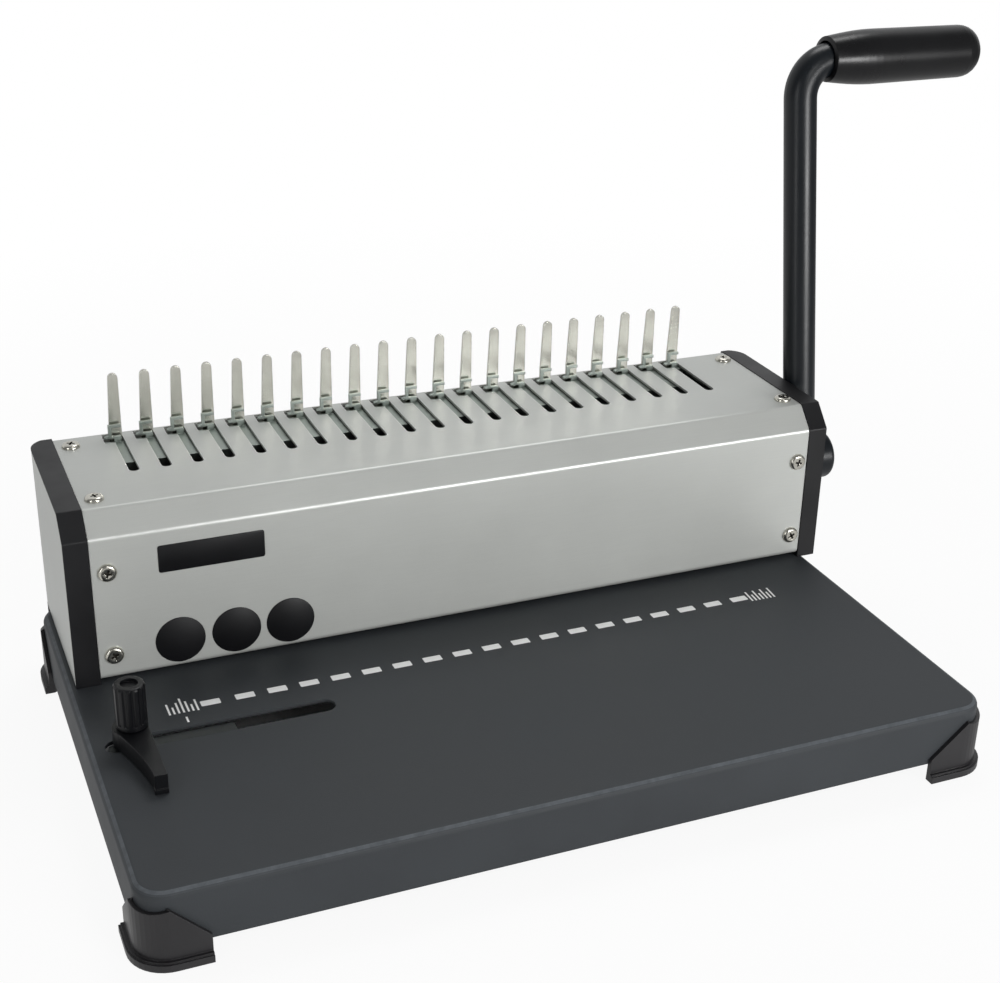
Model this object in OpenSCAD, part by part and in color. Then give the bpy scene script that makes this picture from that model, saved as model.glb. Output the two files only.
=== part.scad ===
// Comb binding machine: punches the row of holes for a plastic comb and opens the comb over it.
// X runs along the machine, Y to its back and Z up. The modules are drawn in machine
// coordinates, with x = 0 at the middle comb blade, y = 0 at the front cover and z = 0 on the
// table; place() then moves them so that the origin is the middle of the whole outline.

/* [Comb] */
// Distance from one comb ring to the next
ring_pitch = 14.2875; // [14:0.0125:14.5]
// Number of rings along the comb
ring_count = 21; // [15:2:21]
// Height of the blade tips above the table
blade_top = 141.2; // [130:0.1:150]
// Thickness of the comb blades
blade_t = 1.5; // [1:0.1:2]

/* [Tray] */
// Length of the tray
tray_w = 365.3; // [340:0.1:380]
// Distance from the front cover to the tray's front edge
tray_reach = 149.4; // [120:0.1:170]
// Distance from the front cover to the tray's back edge
tray_back = 79; // [76:0.1:84]
// Height of the tray's top above the table
tray_top = 32; // [28:0.1:36]
// Height of the tray's folded skirt
skirt_h = 23.9; // [20:0.1:26]
// Offset of the tray's middle from the middle blade
tray_shift = -3.15; // [-8:0.05:0]
// Radius of the tray's corners seen from above
tray_corner = 12; // [8:0.5:16]
// Thickness of the tray sheet
tray_t = 1.5; // [1:0.1:2]
// Radius of the folded top edge
tray_edge = 3; // [2:0.5:4]

/* [Housing] */
// Length of the housing over its end rims
house_w = 366.6; // [355:0.1:370]
// Depth of the housing
house_d = 89; // [86:0.1:92]
// Height of the top cover above the table
house_top = 110.7; // [106:0.1:116]
// Height at which the front starts to slope
slope_low = 100.5; // [94:0.1:104]
// Depth of the slope, measured back from the front
slope_d = 9.2; // [6:0.1:12]
// Offset of the housing's middle from the middle blade
house_shift = 1.4; // [0:0.1:3]
// Width of the left end's rim
rim_left = 10.5; // [8:0.1:12]
// Width of the right end's rim
rim_right = 9.5; // [8:0.1:12]
// Height above the table to which the housing hangs down behind the tray
heel_low = 22.4; // [22:0.1:30]
// Thickness of the cover sheet
cover_t = 1.2; // [0.8:0.1:1.5]
// Height of the paper throat
throat_h = 1.8; // [1.4:0.1:2.4]

/* [Handle] */
// Diameter of the handle bar
bar_d = 16; // [14:0.5:16]
// Distance from the shaft to the grip's axis
bar_len = 197.4; // [180:0.1:210]
// Lean of the handle to the back at rest, in degrees
bar_lean = 9.5; // [5:0.1:15]
// Distance of the bar from the middle blade
bar_x = 193.2; // [193.2:0.1:196]
// Bend radius of the bar's middle line
bar_bend = 18; // [16:0.5:24]
// Largest diameter of the grip
grip_d = 26.4; // [24:0.1:30]
// Where the grip starts along X
grip_from = 207; // [204:0.1:208]
// Where the grip ends along X
grip_to = 293.6; // [280:0.1:310]

/* [Drive] */
// Angle through which the handle turns, in degrees
handle_travel = 85; // [60:1:85]
// Stroke of the punches
punch_stroke = 8; // [7:0.1:8]
// Diameter of the drive shaft
shaft_d = 12; // [10:0.5:12]
// Module of the opener's teeth
tooth_module = 1.5; // [1.5:0.1:1.5]
// Teeth that the opener's sector would have all round
sector_teeth = 24; // [24:1:24]

/* [Edge guide] */
// Diameter of the clamping knob
knob_d = 12.8; // [11:0.1:14]
// Height of the knob
knob_h = 19.7; // [14:0.1:22]
// Distance of the knob from the middle blade, at rest
guide_x = -167.2; // [-168:0.1:-160]
// Middle line of the slot that the guide slides in
guide_y = -50; // [-60:0.5:-45]
// Width of that slot
guide_slot_w = 9.2; // [8:0.1:10]

/* [Feet] */
// How far a foot reaches along each side of the tray
foot_len = 25.6; // [22:0.1:30]
// How much further the right feet reach along X
foot_extra = 2.3; // [0:0.1:4]
// Thickness of the foot's upright wall
foot_wall = 1.8; // [1.5:0.1:3]
// How far the foot's flange stands out
foot_flange = 3.9; // [3:0.1:5]
// Height of the foot's peaks
foot_peak = 25.7; // [20:0.1:28]

/* [Hidden] */
$fn = 48;

// Extents of the tray and the housing, and the origin of the part
tray_x0 = tray_shift - tray_w / 2;
tray_x1 = tray_shift + tray_w / 2;
tray_low = tray_top - skirt_h;
house_x0 = house_shift - house_w / 2;
house_x1 = house_shift + house_w / 2;
panel_x0 = house_x0 + rim_left;
panel_x1 = house_x1 - rim_right;
rim_proud = 0.4;
side_t = 0.8;
side_inset = 1;
back_corner = 10;
heel_front = tray_back + foot_wall + 0.3;
bend_r = 1.2;
origin_x = (tray_x0 - foot_flange + grip_to) / 2;
origin_y = (house_d + rim_proud - tray_reach - foot_flange) / 2;

// Rings
ring_x = [for (i = [0 : ring_count - 1]) (i - (ring_count - 1) / 2) * ring_pitch];

// Keyhole slots of the top cover
slot_w = 4.6;
slot_front = 41.4;
slot_step = 75.6;
slot_back = 86.2;
slot_left = 6.8;

// Shaft, punches and opener
shaft_y = 34;
shaft_z = 70;
shaft_end = bar_x + bar_d / 2 + 4.6;
run = 0.05;
shaft_hole_r = 8.5;
throat_top = tray_top + throat_h;
guide_plate_t = 6;
guide_plate_top = throat_top + guide_plate_t;
die_t = 6;
punch_w = 8;
punch_d = 3;
punch_tip = throat_top + 1.4;
cam_gap = 0.1;
cam_low = 9.5;
keeper_top = shaft_z - cam_low - cam_gap;
keeper_t = 4;
head_t = 1.4;
carrier_top = keeper_top - keeper_t - head_t;
carrier_low = guide_plate_top + punch_stroke + 0.7;
cam_rise = punch_stroke / (handle_travel * PI / 180);
cam_x = 60;
cam_w = 10;
frame_x = 156;
frame_t = 2.5;
frame_foot_w = 9;
frame_foot_y = [10, 70];
frame_screw_x = frame_x + frame_foot_w / 2;
frame_screw_y = [17.5, 58];
die_x = frame_x - 5;
die_d = 20;
spring_x = 146;
spring_y = 47;
peg_z = 97;
peg_r = 2;
tie_y = 14;
tie_z = 97;
tie_r = 4;
bush_r = 9;

// Screws: shank radius, and the radii of the holes that take it with and without a thread
screw_r = 1.45;
tapped_r = 1.5;
clear_r = 1.9;
small_head_r = 3.4;
small_head_h = 1.3;
keeper_screw_x = [for (k = [-6.5, -1.5, 1.5, 6.5]) k * ring_pitch];

// Opener: the rake plate lies just under the top cover
rake_top = house_top - cover_t - 0.5;
rake_t = 1.5;
rake_front = 55.2;
rake_end = 4;
hook_y = 79.4;
hook_t = 1.4;
blade_y = 82.3;
pitch_r = tooth_module * sector_teeth / 2;
rack_line = shaft_z + pitch_r;
rack_x = 126;
rack_t = 6;
tooth_pitch = PI * tooth_module;
tooth_slack = 0.25;

// Edge guide
guide_slot_x = [-178.6, -82.2];
arm_low = tray_top + 0.3;
arm_top = 40.6;
stud_r = 3;

// ---------------------------------------------------------------- helpers

module place() translate([-origin_x, -origin_y, 0]) children();

// Extrudes a (y, z) outline along X, or an (x, z) outline along Y
module along_x(from, to) translate([from, 0, 0]) rotate([90, 0, 90]) linear_extrude(to - from) children();
module along_y(from, to) translate([0, to, 0]) rotate([90, 0, 0]) linear_extrude(to - from) children();
module rod_x(from, to, r, y = 0, z = 0)
    translate([from, y, z]) rotate([0, 90, 0]) cylinder(h = to - from, r = r);
module both_ends() for (m = [0, 1]) mirror([m, 0, 0]) children();

function unit(v) = v / norm(v);
function flip(pts) = [for (i = [len(pts) - 1 : -1 : 0]) pts[i]];

// Points of the arc that rounds corner p between a and b
function arc_corner(a, p, b, r, n) =
    let (d1 = unit(p - a), d2 = unit(b - p))
    let (turn = atan2(d1.x * d2.y - d1.y * d2.x, d1 * d2))
    let (side = turn >= 0 ? 1 : -1, inward = [-d1.y, d1.x] * side)
    let (centre = p - d1 * r * tan(abs(turn) / 2) + inward * r)
    let (start = atan2(-inward.y, -inward.x))
    r == 0 ? [p] : [for (k = [0 : n])
        centre + r * [cos(start + turn * k / n), sin(start + turn * k / n)]];

// A closed outline, and an open line, with each corner rounded by its radius
function rounded(pts, r, n = 6) = let (m = len(pts))
    [for (i = [0 : m - 1]) each arc_corner(pts[(i + m - 1) % m], pts[i], pts[(i + 1) % m], r[i], n)];
function rounded_line(pts, r, n = 6) = let (m = len(pts))
    [for (i = [0 : m - 1]) each (i == 0 || i == m - 1) ? [pts[i]]
        : arc_corner(pts[i - 1], pts[i], pts[i + 1], r[i], n)];

// The same line moved sideways by t, to its left when t is positive
function side_step(pts, t) = let (m = len(pts)) [for (i = [0 : m - 1])
    let (d1 = i == 0 ? unit(pts[1] - pts[0]) : unit(pts[i] - pts[i - 1]))
    let (d2 = i == m - 1 ? d1 : unit(pts[i + 1] - pts[i]))
    let (n1 = [-d1.y, d1.x], n2 = [-d2.y, d2.x])
    pts[i] + t * (n1 + n2) / (1 + n1 * n2)];

// Section of a folded sheet: pts run along one face, and the metal lies on the right of them
function folded(pts, t, r_out) = concat(
    rounded_line(pts, [for (p = pts) r_out]),
    flip(rounded_line(side_step(pts, -t), [for (p = pts) max(0, r_out - t)])));

// A block with rounded corners in plan and a rounded top edge, as a press tool makes it
module pressed_block(x0, x1, y0, y1, z0, z1, corner, edge) {
    module slab(a, b) polygon(rounded([[a, z0], [b, z0], [b, z1], [a, z1]], [0, 0, edge, edge]));
    along_x(x0 + corner, x1 - corner) slab(y0, y1);
    along_y(y0 + corner, y1 - corner) slab(x0, x1);
    for (x = [x0 + corner, x1 - corner], y = [y0 + corner, y1 - corner])
        translate([x, y, 0])
            rotate_extrude()
                polygon(rounded([[0, z0], [corner, z0], [corner, z1], [0, z1]], [0, 0, edge, 0]));
}

// A slot with round ends, cut along X
module slot_x(x0, x1, y, w, z0, z1) translate([0, 0, z0]) {
    translate([x0 + w / 2, y - w / 2, 0]) cube([x1 - x0 - w, w, z1 - z0]);
    for (x = [x0 + w / 2, x1 - w / 2]) translate([x, y, 0]) cylinder(h = z1 - z0, r = w / 2);
}

// A pan-head screw with a cross recess; its head faces +Z and rests on z = 0
module pan_screw(head_r = 4.1, head_h = 1.7, shank_r = screw_r, length = 8) difference() {
    cross_w = 1;
    union() {
        rotate_extrude()
            polygon(concat([[0, 0]], [for (k = [0 : 6])
                [head_r - head_h * 1.2 * (1 - cos(k * 15)), head_h * sin(k * 15)]], [[0, head_h]]));
        translate([0, 0, -length]) cylinder(h = length + 0.1, r = shank_r);
    }
    for (a = [0, 90]) rotate(a)
        translate([-head_r * 0.55, -cross_w / 2, head_h - 0.9]) cube([head_r * 1.1, cross_w, 2]);
}

// ---------------------------------------------------------------- base and feet

module base_tray() color("#3c4146") difference() {
    pressed_block(tray_x0, tray_x1, -tray_reach, tray_back, tray_low, tray_top, tray_corner, tray_edge);
    pressed_block(tray_x0 + tray_t, tray_x1 - tray_t, -tray_reach + tray_t, tray_back - tray_t,
        tray_low - 1, tray_top - tray_t, tray_corner - tray_t, tray_edge - tray_t);
    // slot of the edge guide
    slot_x(guide_slot_x[0], guide_slot_x[1], guide_y, guide_slot_w, tray_top - 2 * tray_t, tray_top + 1);
    // window for the die, and the way out of the chip drawer
    translate([-die_x, shaft_y - die_d / 2, tray_top - 2 * tray_t]) cube([2 * die_x, die_d, 4 * tray_t]);
    translate([-drawer_x - drawer_gap, tray_back - 4, tray_low - 1])
        cube([2 * (drawer_x + drawer_gap), 6, drawer_top - tray_low + 1.6]);
    frame_screw_holes(clear_r);
}

// Plan of a foot's corner: a quarter with its outer faces moved out by off
module corner_plan(off, reach, extra = 0) polygon(rounded(
    [[-off, -off], [reach + extra, -off], [reach + extra, reach], [-off, reach]],
    [tray_corner + off, 0, 0, 0], 10));

// A foot at the tray's front left corner, with the tray's outer faces at x = 0 and y = 0
module foot(extra = 0) difference() {
    peak_at = 10.7;
    scoop_r = 27.75;
    scoop_depth = 1.7;
    sole = 3;
    sole_step = 0.8;
    end_x = foot_len + extra;
    union() {
        foot_pillar();
        linear_extrude(foot_peak) corner_plan(foot_wall, foot_len, extra);
        linear_extrude(sole) corner_plan(foot_flange, foot_len, extra);
        linear_extrude(sole + sole_step) corner_plan(foot_flange - sole_step, foot_len, extra);
    }
    // inside, above the ledge that the skirt stands on, and the hollow within the ledge
    difference() {
        union() {
            translate([0, 0, tray_low]) linear_extrude(foot_peak + 9) corner_plan(0.1, foot_len + 1, extra);
            translate([0, 0, sole]) linear_extrude(foot_peak)
                translate([skirt_ledge, skirt_ledge]) corner_plan(0, foot_len, extra);
        }
        foot_pillar();
    }
    // the sole is cut back on the slant from each end to the screw's pillar
    translate([0, 0, -1]) linear_extrude(foot_peak)
        polygon([[end_x + 1, 0.4], [end_x + 1, foot_len + 1], [0.4, foot_len + 1], [0.4, foot_len],
            [foot_screw_at + pillar_r, foot_screw_at + pillar_r], [end_x, 0.4]]);
    // upper edges fall away from the two peaks
    for (m = [0, 1]) mirror([m, -m, 0])
        let (reach = foot_len + (m == 0 ? extra : 0), drop = foot_len + 1 - peak_at)
            along_y(-foot_wall - 1, 0.5)
                polygon([[peak_at, foot_peak], [reach + 1, foot_peak - drop],
                    [reach + 1, foot_peak + 1], [peak_at, foot_peak + 1]]);
    // shallow scoop round the corner
    translate([0, 0, foot_peak - scoop_depth + scoop_r]) rotate([0, 0, 45]) rotate([0, 90, 0])
        cylinder(h = 14, r = scoop_r, center = true, $fn = 96);
    // hole for the foot's screw, with a recess for its head
    translate([foot_screw_at, foot_screw_at, -1]) cylinder(h = tray_top, r = clear_r);
    translate([foot_screw_at, foot_screw_at, -1]) cylinder(h = foot_head_z + 1.05, r = 4.2);
}

// Pillar inside the foot, up to the underside of the tray
foot_screw_at = 10.5;
foot_head_z = 1.55;
pillar_r = 4.6;
skirt_ledge = 5;
module foot_pillar() translate([foot_screw_at, foot_screw_at, 0])
    cylinder(h = tray_top - tray_t - 0.1, r = pillar_r);

module tray_corner_at(right, rear) translate([right ? tray_x1 : tray_x0, rear ? tray_back : -tray_reach, 0])
    mirror([right ? 1 : 0, 0, 0]) mirror([0, rear ? 1 : 0, 0]) children();

module foot_front_left() color("#3a3838") tray_corner_at(false, false) foot();
module foot_front_right() color("#3a3838") tray_corner_at(true, false) foot(foot_extra);
module foot_rear_left() color("#3a3838") tray_corner_at(false, true) foot();
module foot_rear_right() color("#3a3838") tray_corner_at(true, true) foot(foot_extra);

// ---------------------------------------------------------------- covers

// Front and top of the housing in (y, z), grown by g
function house_front(g, low) = [[-g, low], [-g, slope_low + g * 0.4],
    [slope_d - g * 0.4, house_top + g], [house_d + g, house_top + g]];

// Outline of the housing, grown by g all round
function house_outline(g, low) = rounded(concat(house_front(g, low), [[house_d + g, low]]),
    [0, bend_r, bend_r, bend_r, 0]);

// The same outline with the heel that hangs down behind the tray and the rear feet
function heel_outline(g, low) = let (inset = rim_proud - g) rounded(concat(house_front(g, low),
    [[house_d + g, heel_low + inset], [heel_front + inset, heel_low + inset], [heel_front + inset, low]]),
    [0, bend_r, bend_r, bend_r, 0, 0, 0]);

// Line of the front cover's outer face, from the throat lip over the top to the back lip
throat_lip = 8;
back_lip = 9;
fold_r = 2.6;
front_line = [[throat_lip, throat_top], [0, throat_top], [0, slope_low], [slope_d, house_top],
    [house_d, house_top], [house_d, house_top - back_lip]];

// Places of the cover screws: on the top as (x, y), on the front as (x, z)
screw_x = [panel_x0 + 6.8, panel_x1 - 5.4];
top_screws = [for (x = screw_x, y = [18.2, 77.3]) [x, y]];
front_screws = [for (x = screw_x, z = [45.2, 84.8]) [x, z]];

module keyhole(x) translate([x, 0, house_top - cover_t - 1]) {
    translate([0, slot_front + slot_w / 2, 0]) cylinder(h = cover_t + 2, r = slot_w / 2);
    translate([-slot_w / 2, slot_front + slot_w / 2, 0])
        cube([slot_w, slot_back - slot_front - slot_w / 2, cover_t + 2]);
    translate([-slot_left, slot_step, 0]) cube([slot_left, slot_back - slot_step, cover_t + 2]);
}

module front_cover() color("#b4b6b0") difference() {
    along_x(panel_x0 + 0.1, panel_x1 - 0.1) polygon(folded(front_line, cover_t, fold_r));
    for (x = ring_x) keyhole(x);
    top_screw_holes(clear_r, 4);
    front_screw_holes(clear_r, 4);
}

// Holes for the cover screws, as deep as given below the cover's face
module top_screw_holes(r, depth) for (s = top_screws)
    translate([s.x, s.y, house_top - depth]) cylinder(h = depth + 2, r = r);
module front_screw_holes(r, depth) for (s = front_screws)
    translate([s.x, -2, s.y]) rotate([-90, 0, 0]) cylinder(h = depth + 2, r = r);
module rear_screw_holes(r) for (s = rear_screw_at)
    translate([s.x, house_d - 8, s.y]) rotate([-90, 0, 0]) cylinder(h = 12, r = r);

// Line of the rear cover's outer face: it laps inside the front cover's back lip
rear_face = house_d - cover_t - 0.1;
rear_line = [[heel_front + 0.5, heel_low], [rear_face, heel_low], [rear_face, house_top - 2.2]];
rear_screw_at = [for (x = screw_x, z = [45.2, 92]) [x, z]];

module rear_cover() color("#b4b6b0") difference() {
    along_x(panel_x0 + 0.15, panel_x1 - 0.15) polygon(folded(flip(rear_line), cover_t, fold_r));
    rear_screw_holes(clear_r);
}

// End cap for the left side: a moulded tub whose rim shows round the cover
cap_wall = 2.4;
cap_rib = 2;
ledge = 14;
ledge_t = 2.5;

module end_cap(rim, with_shaft_hole) difference() {
    inner_x = house_x0 + rim;
    seat = cover_t + 0.1;
    union() {
        // rim and outer web
        difference() {
            along_x(house_x0, inner_x) polygon(heel_outline(rim_proud, tray_top));
            along_x(house_x0 + cap_wall, inner_x + 1) polygon(house_outline(-cap_wall, tray_top + cap_wall));
        }
        // ledge under the cover, which takes the cover's screws, open at the throat and at the back
        difference() {
            along_x(inner_x - 1, inner_x + ledge) polygon(house_outline(-seat, tray_top));
            along_x(inner_x - 2, inner_x + ledge + 1)
                polygon(house_outline(-seat - ledge_t, tray_top + cap_wall));
            translate([inner_x, -1, tray_top - 1]) cube([ledge + 1, house_d, throat_h + cover_t + 1.2]);
            translate([inner_x, rear_face - 4, tray_top - 1]) cube([ledge + 1, 10, house_top - tray_top]);
        }
        // flange behind the rear cover
        translate([inner_x - 1, rear_face - seat - ledge_t, tray_top + 3]) cube([ledge + 1, ledge_t, 68]);
        // ribs behind the web
        for (y = [20, 62])
            translate([house_x0 + 1, y, tray_top + 1]) cube([rim - 3, cap_rib, house_top - tray_top - 4]);
        for (z = [50, 90])
            translate([house_x0 + 1, 2, z]) cube([rim - 3, house_d - 4, cap_rib]);
    }
    // rounded corner at the back, and the recess for the side panel
    translate([house_x0, house_d + rim_proud, 0]) round_off(back_corner);
    side_sheet(back_corner - side_t - 0.15, back_corner + 2, 66, side_inset - 0.1);
    if (with_shaft_hole) rod_x(house_x0 - 1, inner_x + 1, shaft_hole_r, shaft_y, shaft_z);
}

// What is cut away to round an upright corner; the corner is at the origin, metal at +X and -Y
module round_off(r) translate([0, 0, -1]) difference() {
    translate([-1, -r, 0]) cube([r + 1, r + 1, 200]);
    translate([r, -r, -1]) cylinder(h = 202, r = r, $fn = 96);
}

module other_end() translate([2 * house_shift, 0, 0]) mirror([1, 0, 0]) children();

module end_cap_left() color("#1d1d21") difference() {
    end_cap(rim_left, false);
    cap_screw_holes();
}

module end_cap_right() color("#1d1d21") difference() {
    other_end() end_cap(rim_right, true);
    cap_screw_holes();
}

module cap_screw_holes() {
    top_screw_holes(tapped_r, 12);
    front_screw_holes(tapped_r, 10);
    rear_screw_holes(tapped_r);
}

// Upright sheet along the cap's outer face and part of the way round its back corner, between
// the radii r_in and r_out of that corner; inset is its distance from the rim's outline
module side_sheet(r_in, r_out, turn, inset) intersection() {
    centre = [house_x0 + back_corner, house_d + rim_proud - back_corner];
    steps = 9;
    linear_extrude(200) translate(centre) polygon(concat(
        [[-r_out, -house_d]],
        [for (k = [0 : steps]) r_out * [-cos(turn * k / steps), sin(turn * k / steps)]],
        [for (k = [steps : -1 : 0]) r_in * [-cos(turn * k / steps), sin(turn * k / steps)]],
        [[-r_in, -house_d]]));
    along_x(house_x0 - 5, house_x0 + 20) polygon(heel_outline(rim_proud - inset, tray_top + 0.6));
}

// Silver sheet let into the outer face of an end cap
module side_panel(with_shaft_hole) difference() {
    side_sheet(back_corner - side_t - 0.1, back_corner - 0.1, 63, side_inset);
    if (with_shaft_hole) rod_x(house_x0 - 5, house_x0 + 3, shaft_hole_r, shaft_y, shaft_z);
}

module side_panel_left() color("#b9bab4") side_panel(false);
module side_panel_right() color("#b9bab4") other_end() side_panel(true);

module cover_screws() color("#c9c8c0") {
    for (s = top_screws) translate([s.x, s.y, house_top]) rotate(20) pan_screw();
    for (s = front_screws) translate([s.x, 0, s.y]) rotate([90, 0, 0]) rotate(35) pan_screw();
}

module rear_screws() color("#c9c8c0") for (s = rear_screw_at) translate([s.x, rear_face, s.y])
    rotate([-90, 0, 0]) pan_screw(small_head_r, small_head_h, screw_r, 5);

module foot_screws() color("#8d8d88") for (right = [false, true], rear = [false, true])
    tray_corner_at(right, rear) translate([foot_screw_at, foot_screw_at, foot_head_z]) rotate([180, 0, 0])
        pan_screw(small_head_r, small_head_h, screw_r + 0.25, tray_top - tray_t - foot_head_z - 0.1);

// ---------------------------------------------------------------- fixed mechanism

// Side frame for the left end, with a foot folded outwards and a hole for the bush
frame_outline = [[9, tray_top], [72, tray_top], [72, 36], [82, 36],
    [82, 70], [74, 104.5], [15, 104.5], [9, 96]];
frame_corners = [0, 0, 0, 3, 6, 4, 4, 6];
frame_window = [[56, 44], [74, 44], [74, 60], [67, 84], [56, 84]];

module frame_plate() difference() {
    union() {
        along_x(-frame_x - frame_t, -frame_x) polygon(rounded(frame_outline, frame_corners));
        translate([-frame_x - frame_foot_w, frame_foot_y[0], tray_top])
            cube([frame_foot_w, frame_foot_y[1] - frame_foot_y[0], frame_t]);
    }
    frame_hole(bush_r, shaft_y, shaft_z);
    frame_hole(tie_r - 1, tie_y, tie_z);
    frame_hole(peg_r, spring_y, peg_z);
    // lightening window
    along_x(-frame_x - 2 * frame_t, -frame_x + 1) polygon(rounded(frame_window, [for (p = frame_window) 4]));
    frame_screw_holes(tapped_r);
}

module frame_hole(r, y, z) rod_x(-frame_x - 2 * frame_t, -frame_x + frame_t, r, y, z);
module frame_screw_holes(r) both_ends() for (y = frame_screw_y)
    translate([-frame_screw_x, y, tray_top - 3]) cylinder(h = 8, r = r);

// Screws that hold the side frames, put in from under the tray
module frame_screws() color("#8d8d88") both_ends() for (y = frame_screw_y)
    translate([-frame_screw_x, y, tray_top - tray_t]) rotate([180, 0, 0])
        pan_screw(small_head_r, small_head_h, screw_r, tray_t + frame_t + 1);

module frame_plate_left() color("#9a9c98") frame_plate();
module frame_plate_right() color("#9a9c98") mirror([1, 0, 0]) frame_plate();

// Flanged bush, pressed in from inside
module shaft_bush() difference() {
    union() {
        rod_x(-frame_x - frame_t - 2, -frame_x, bush_r, shaft_y, shaft_z);
        rod_x(-frame_x, -frame_x + 2, bush_r + 2.5, shaft_y, shaft_z);
    }
    rod_x(-frame_x - 9, -frame_x + 9, shaft_d / 2 + run, shaft_y, shaft_z);
}

module shaft_bush_left() color("#b08d4c") shaft_bush();
module shaft_bush_right() color("#b08d4c") mirror([1, 0, 0]) shaft_bush();

// Rod that ties the side frames together, with a nut outside each
module tie_rod() color("#8d8d88") {
    rod_x(-frame_x, frame_x, tie_r, tie_y, tie_z);
    rod_x(-frame_x - frame_t - 4, frame_x + frame_t + 4, tie_r - 1, tie_y, tie_z);
    both_ends() rod_x(-frame_x - frame_t - 2.4, -frame_x - frame_t, tie_r + 1.5, tie_y, tie_z, $fn = 6);
}

// Pegs on the side frames that the springs hang from
module spring_pegs() color("#8d8d88") both_ends() {
    rod_x(-frame_x - frame_t, -spring_x + 2.5, peg_r, spring_y, peg_z);
    rod_x(-spring_x + 2.5, -spring_x + 4, peg_r + 1, spring_y, peg_z);
}

module die_holes(z0, z1, slack) for (x = ring_x)
    translate([x - punch_w / 2 - slack, shaft_y - punch_d / 2 - slack, z0])
        cube([punch_w + 2 * slack, punch_d + 2 * slack, z1 - z0]);

module die_plate() color("#7f827f") difference() {
    land = die_x - 0.2;
    tongue = frame_x + 6;
    depth = die_d - 0.4;
    union() {
        translate([-land, shaft_y - depth / 2, tray_top - die_t]) cube([2 * land, depth, die_t]);
        translate([-tongue, shaft_y - depth / 2, tray_top - die_t])
            cube([2 * tongue, depth, die_t - tray_t - 0.05]);
    }
    die_holes(tray_top - die_t - 1, tray_top + 1, 0.1);
    // the holes open out below, so that chips fall free
    die_holes(tray_top - die_t - 1, tray_top - die_t / 2, 0.5);
}

module punch_guide_plate() color("#7f827f") difference() {
    translate([-frame_x + 0.2, shaft_y - die_d / 2, throat_top])
        cube([2 * frame_x - 0.4, die_d, guide_plate_t]);
    die_holes(throat_top - 1, guide_plate_top + 1, 0.1);
    // lead-in along the throat's front edge
    along_x(-frame_x, frame_x) translate([shaft_y - die_d / 2, throat_top])
        polygon([[-1, -1], [3, -1], [3, 0], [0, 2], [-1, 2]]);
}

module throat_spacers() color("#9a9c98") both_ends()
    translate([-frame_x + 0.2, shaft_y - die_d / 2, tray_top]) cube([frame_x - die_x - 0.4, die_d, throat_h]);

// One comb blade: its right edge is upright and its left edge slants
blade_low = 78;
blade_foot_w = 3.35;
blade_tip_r = 2.2;
function blade_outline() = let (z1 = blade_top - blade_tip_r) concat(
    [[-blade_foot_w, blade_low], [blade_tip_r, blade_low], [blade_tip_r, z1]],
    [for (k = [1 : 8]) [blade_tip_r * cos(k * 20), z1 + blade_tip_r * sin(k * 20)]],
    [[-blade_tip_r, z1], [-blade_foot_w, house_top + 6]]);

module comb_blades() color("#b0b0a6") for (x = ring_x)
    translate([x, 0, 0]) along_y(blade_y, blade_y + blade_t) polygon(blade_outline());

// Bar behind the blades that holds them; its end tabs are folded forward on to the side frames
module blade_bar() color("#9a9c98") {
    bar_y = blade_y + blade_t + 0.02;
    bar_t = 1.5;
    end_x = frame_x - 0.2;
    low = blade_low - 2;
    high = blade_low + 16;
    along_y(bar_y, bar_y + bar_t)
        polygon(rounded([[-end_x, low], [end_x, low], [end_x, high], [-end_x, high]], [0, 0, 3, 3]));
    both_ends()
        translate([-end_x, bar_y - 13.5, blade_low]) cube([bar_t, 14, 14]);
}

// Stepped rail on the side frame: one end of the rake plate slides on it, under the top cover
rail_y = [24, 78];
rail_w = 9;
rail_h = 7;

module rake_rail() difference() {
    translate([-frame_x, rail_y[0], rake_top - rail_h]) cube([rail_w, rail_y[1] - rail_y[0], rail_h + 0.3]);
    translate([-frame_x + rake_end, rail_y[0] - 1, rake_top - rake_t - 0.2])
        cube([rail_w, rail_y[1] - rail_y[0] + 6, rake_t + 1]);
}

module rake_rail_left() color("#4a4c50") rake_rail();
module rake_rail_right() color("#4a4c50") mirror([1, 0, 0]) rake_rail();

// ---------------------------------------------------------------- handle

module drive_shaft() color("#8d8d88")
    rod_x(-frame_x - frame_t - 3, shaft_end, shaft_d / 2, shaft_y, shaft_z);

// Cam outline in (y, z) round the shaft. A flat face is lifted in step with the angle, so the
// active edge is the involute of a circle whose radius is the lift for one radian.
function cam_point(turned) = let (
    lift = cam_low + cam_rise * turned * PI / 180,
    aim = -90 - turned)
    lift * [cos(aim), sin(aim)] - cam_rise * [-sin(aim), cos(aim)];

module punch_cam(x) difference() {
    along_x(x, x + cam_w) translate([shaft_y, shaft_z]) polygon(concat(
        [for (k = [0 : 24]) cam_point(-4 + (handle_travel + 8) * k / 24)],
        [for (k = [1 : 14]) let (a = -90 - handle_travel - 4 - k * 14) cam_low * [cos(a), sin(a)]]));
    rod_x(x - 1, x + cam_w + 1, shaft_d / 2 + 0.01, shaft_y, shaft_z);
}

module punch_cams() color("#8f918c") for (x = [-cam_x - cam_w, cam_x]) punch_cam(x);

// Involute flank, from the base circle out; angle of the flank at radius r
base_r = pitch_r * cos(20);
function involute_angle(r) = let (t = sqrt(max(0, pow(r / base_r, 2) - 1))) t * 180 / PI - atan(t);
function tooth_half_angle(r) = (tooth_pitch / 2 - tooth_slack) / 2 / pitch_r * 180 / PI
    + involute_angle(pitch_r) - involute_angle(r);

root_r = pitch_r - 1.25 * tooth_module;
sector_hub_r = 9.2;

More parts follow.
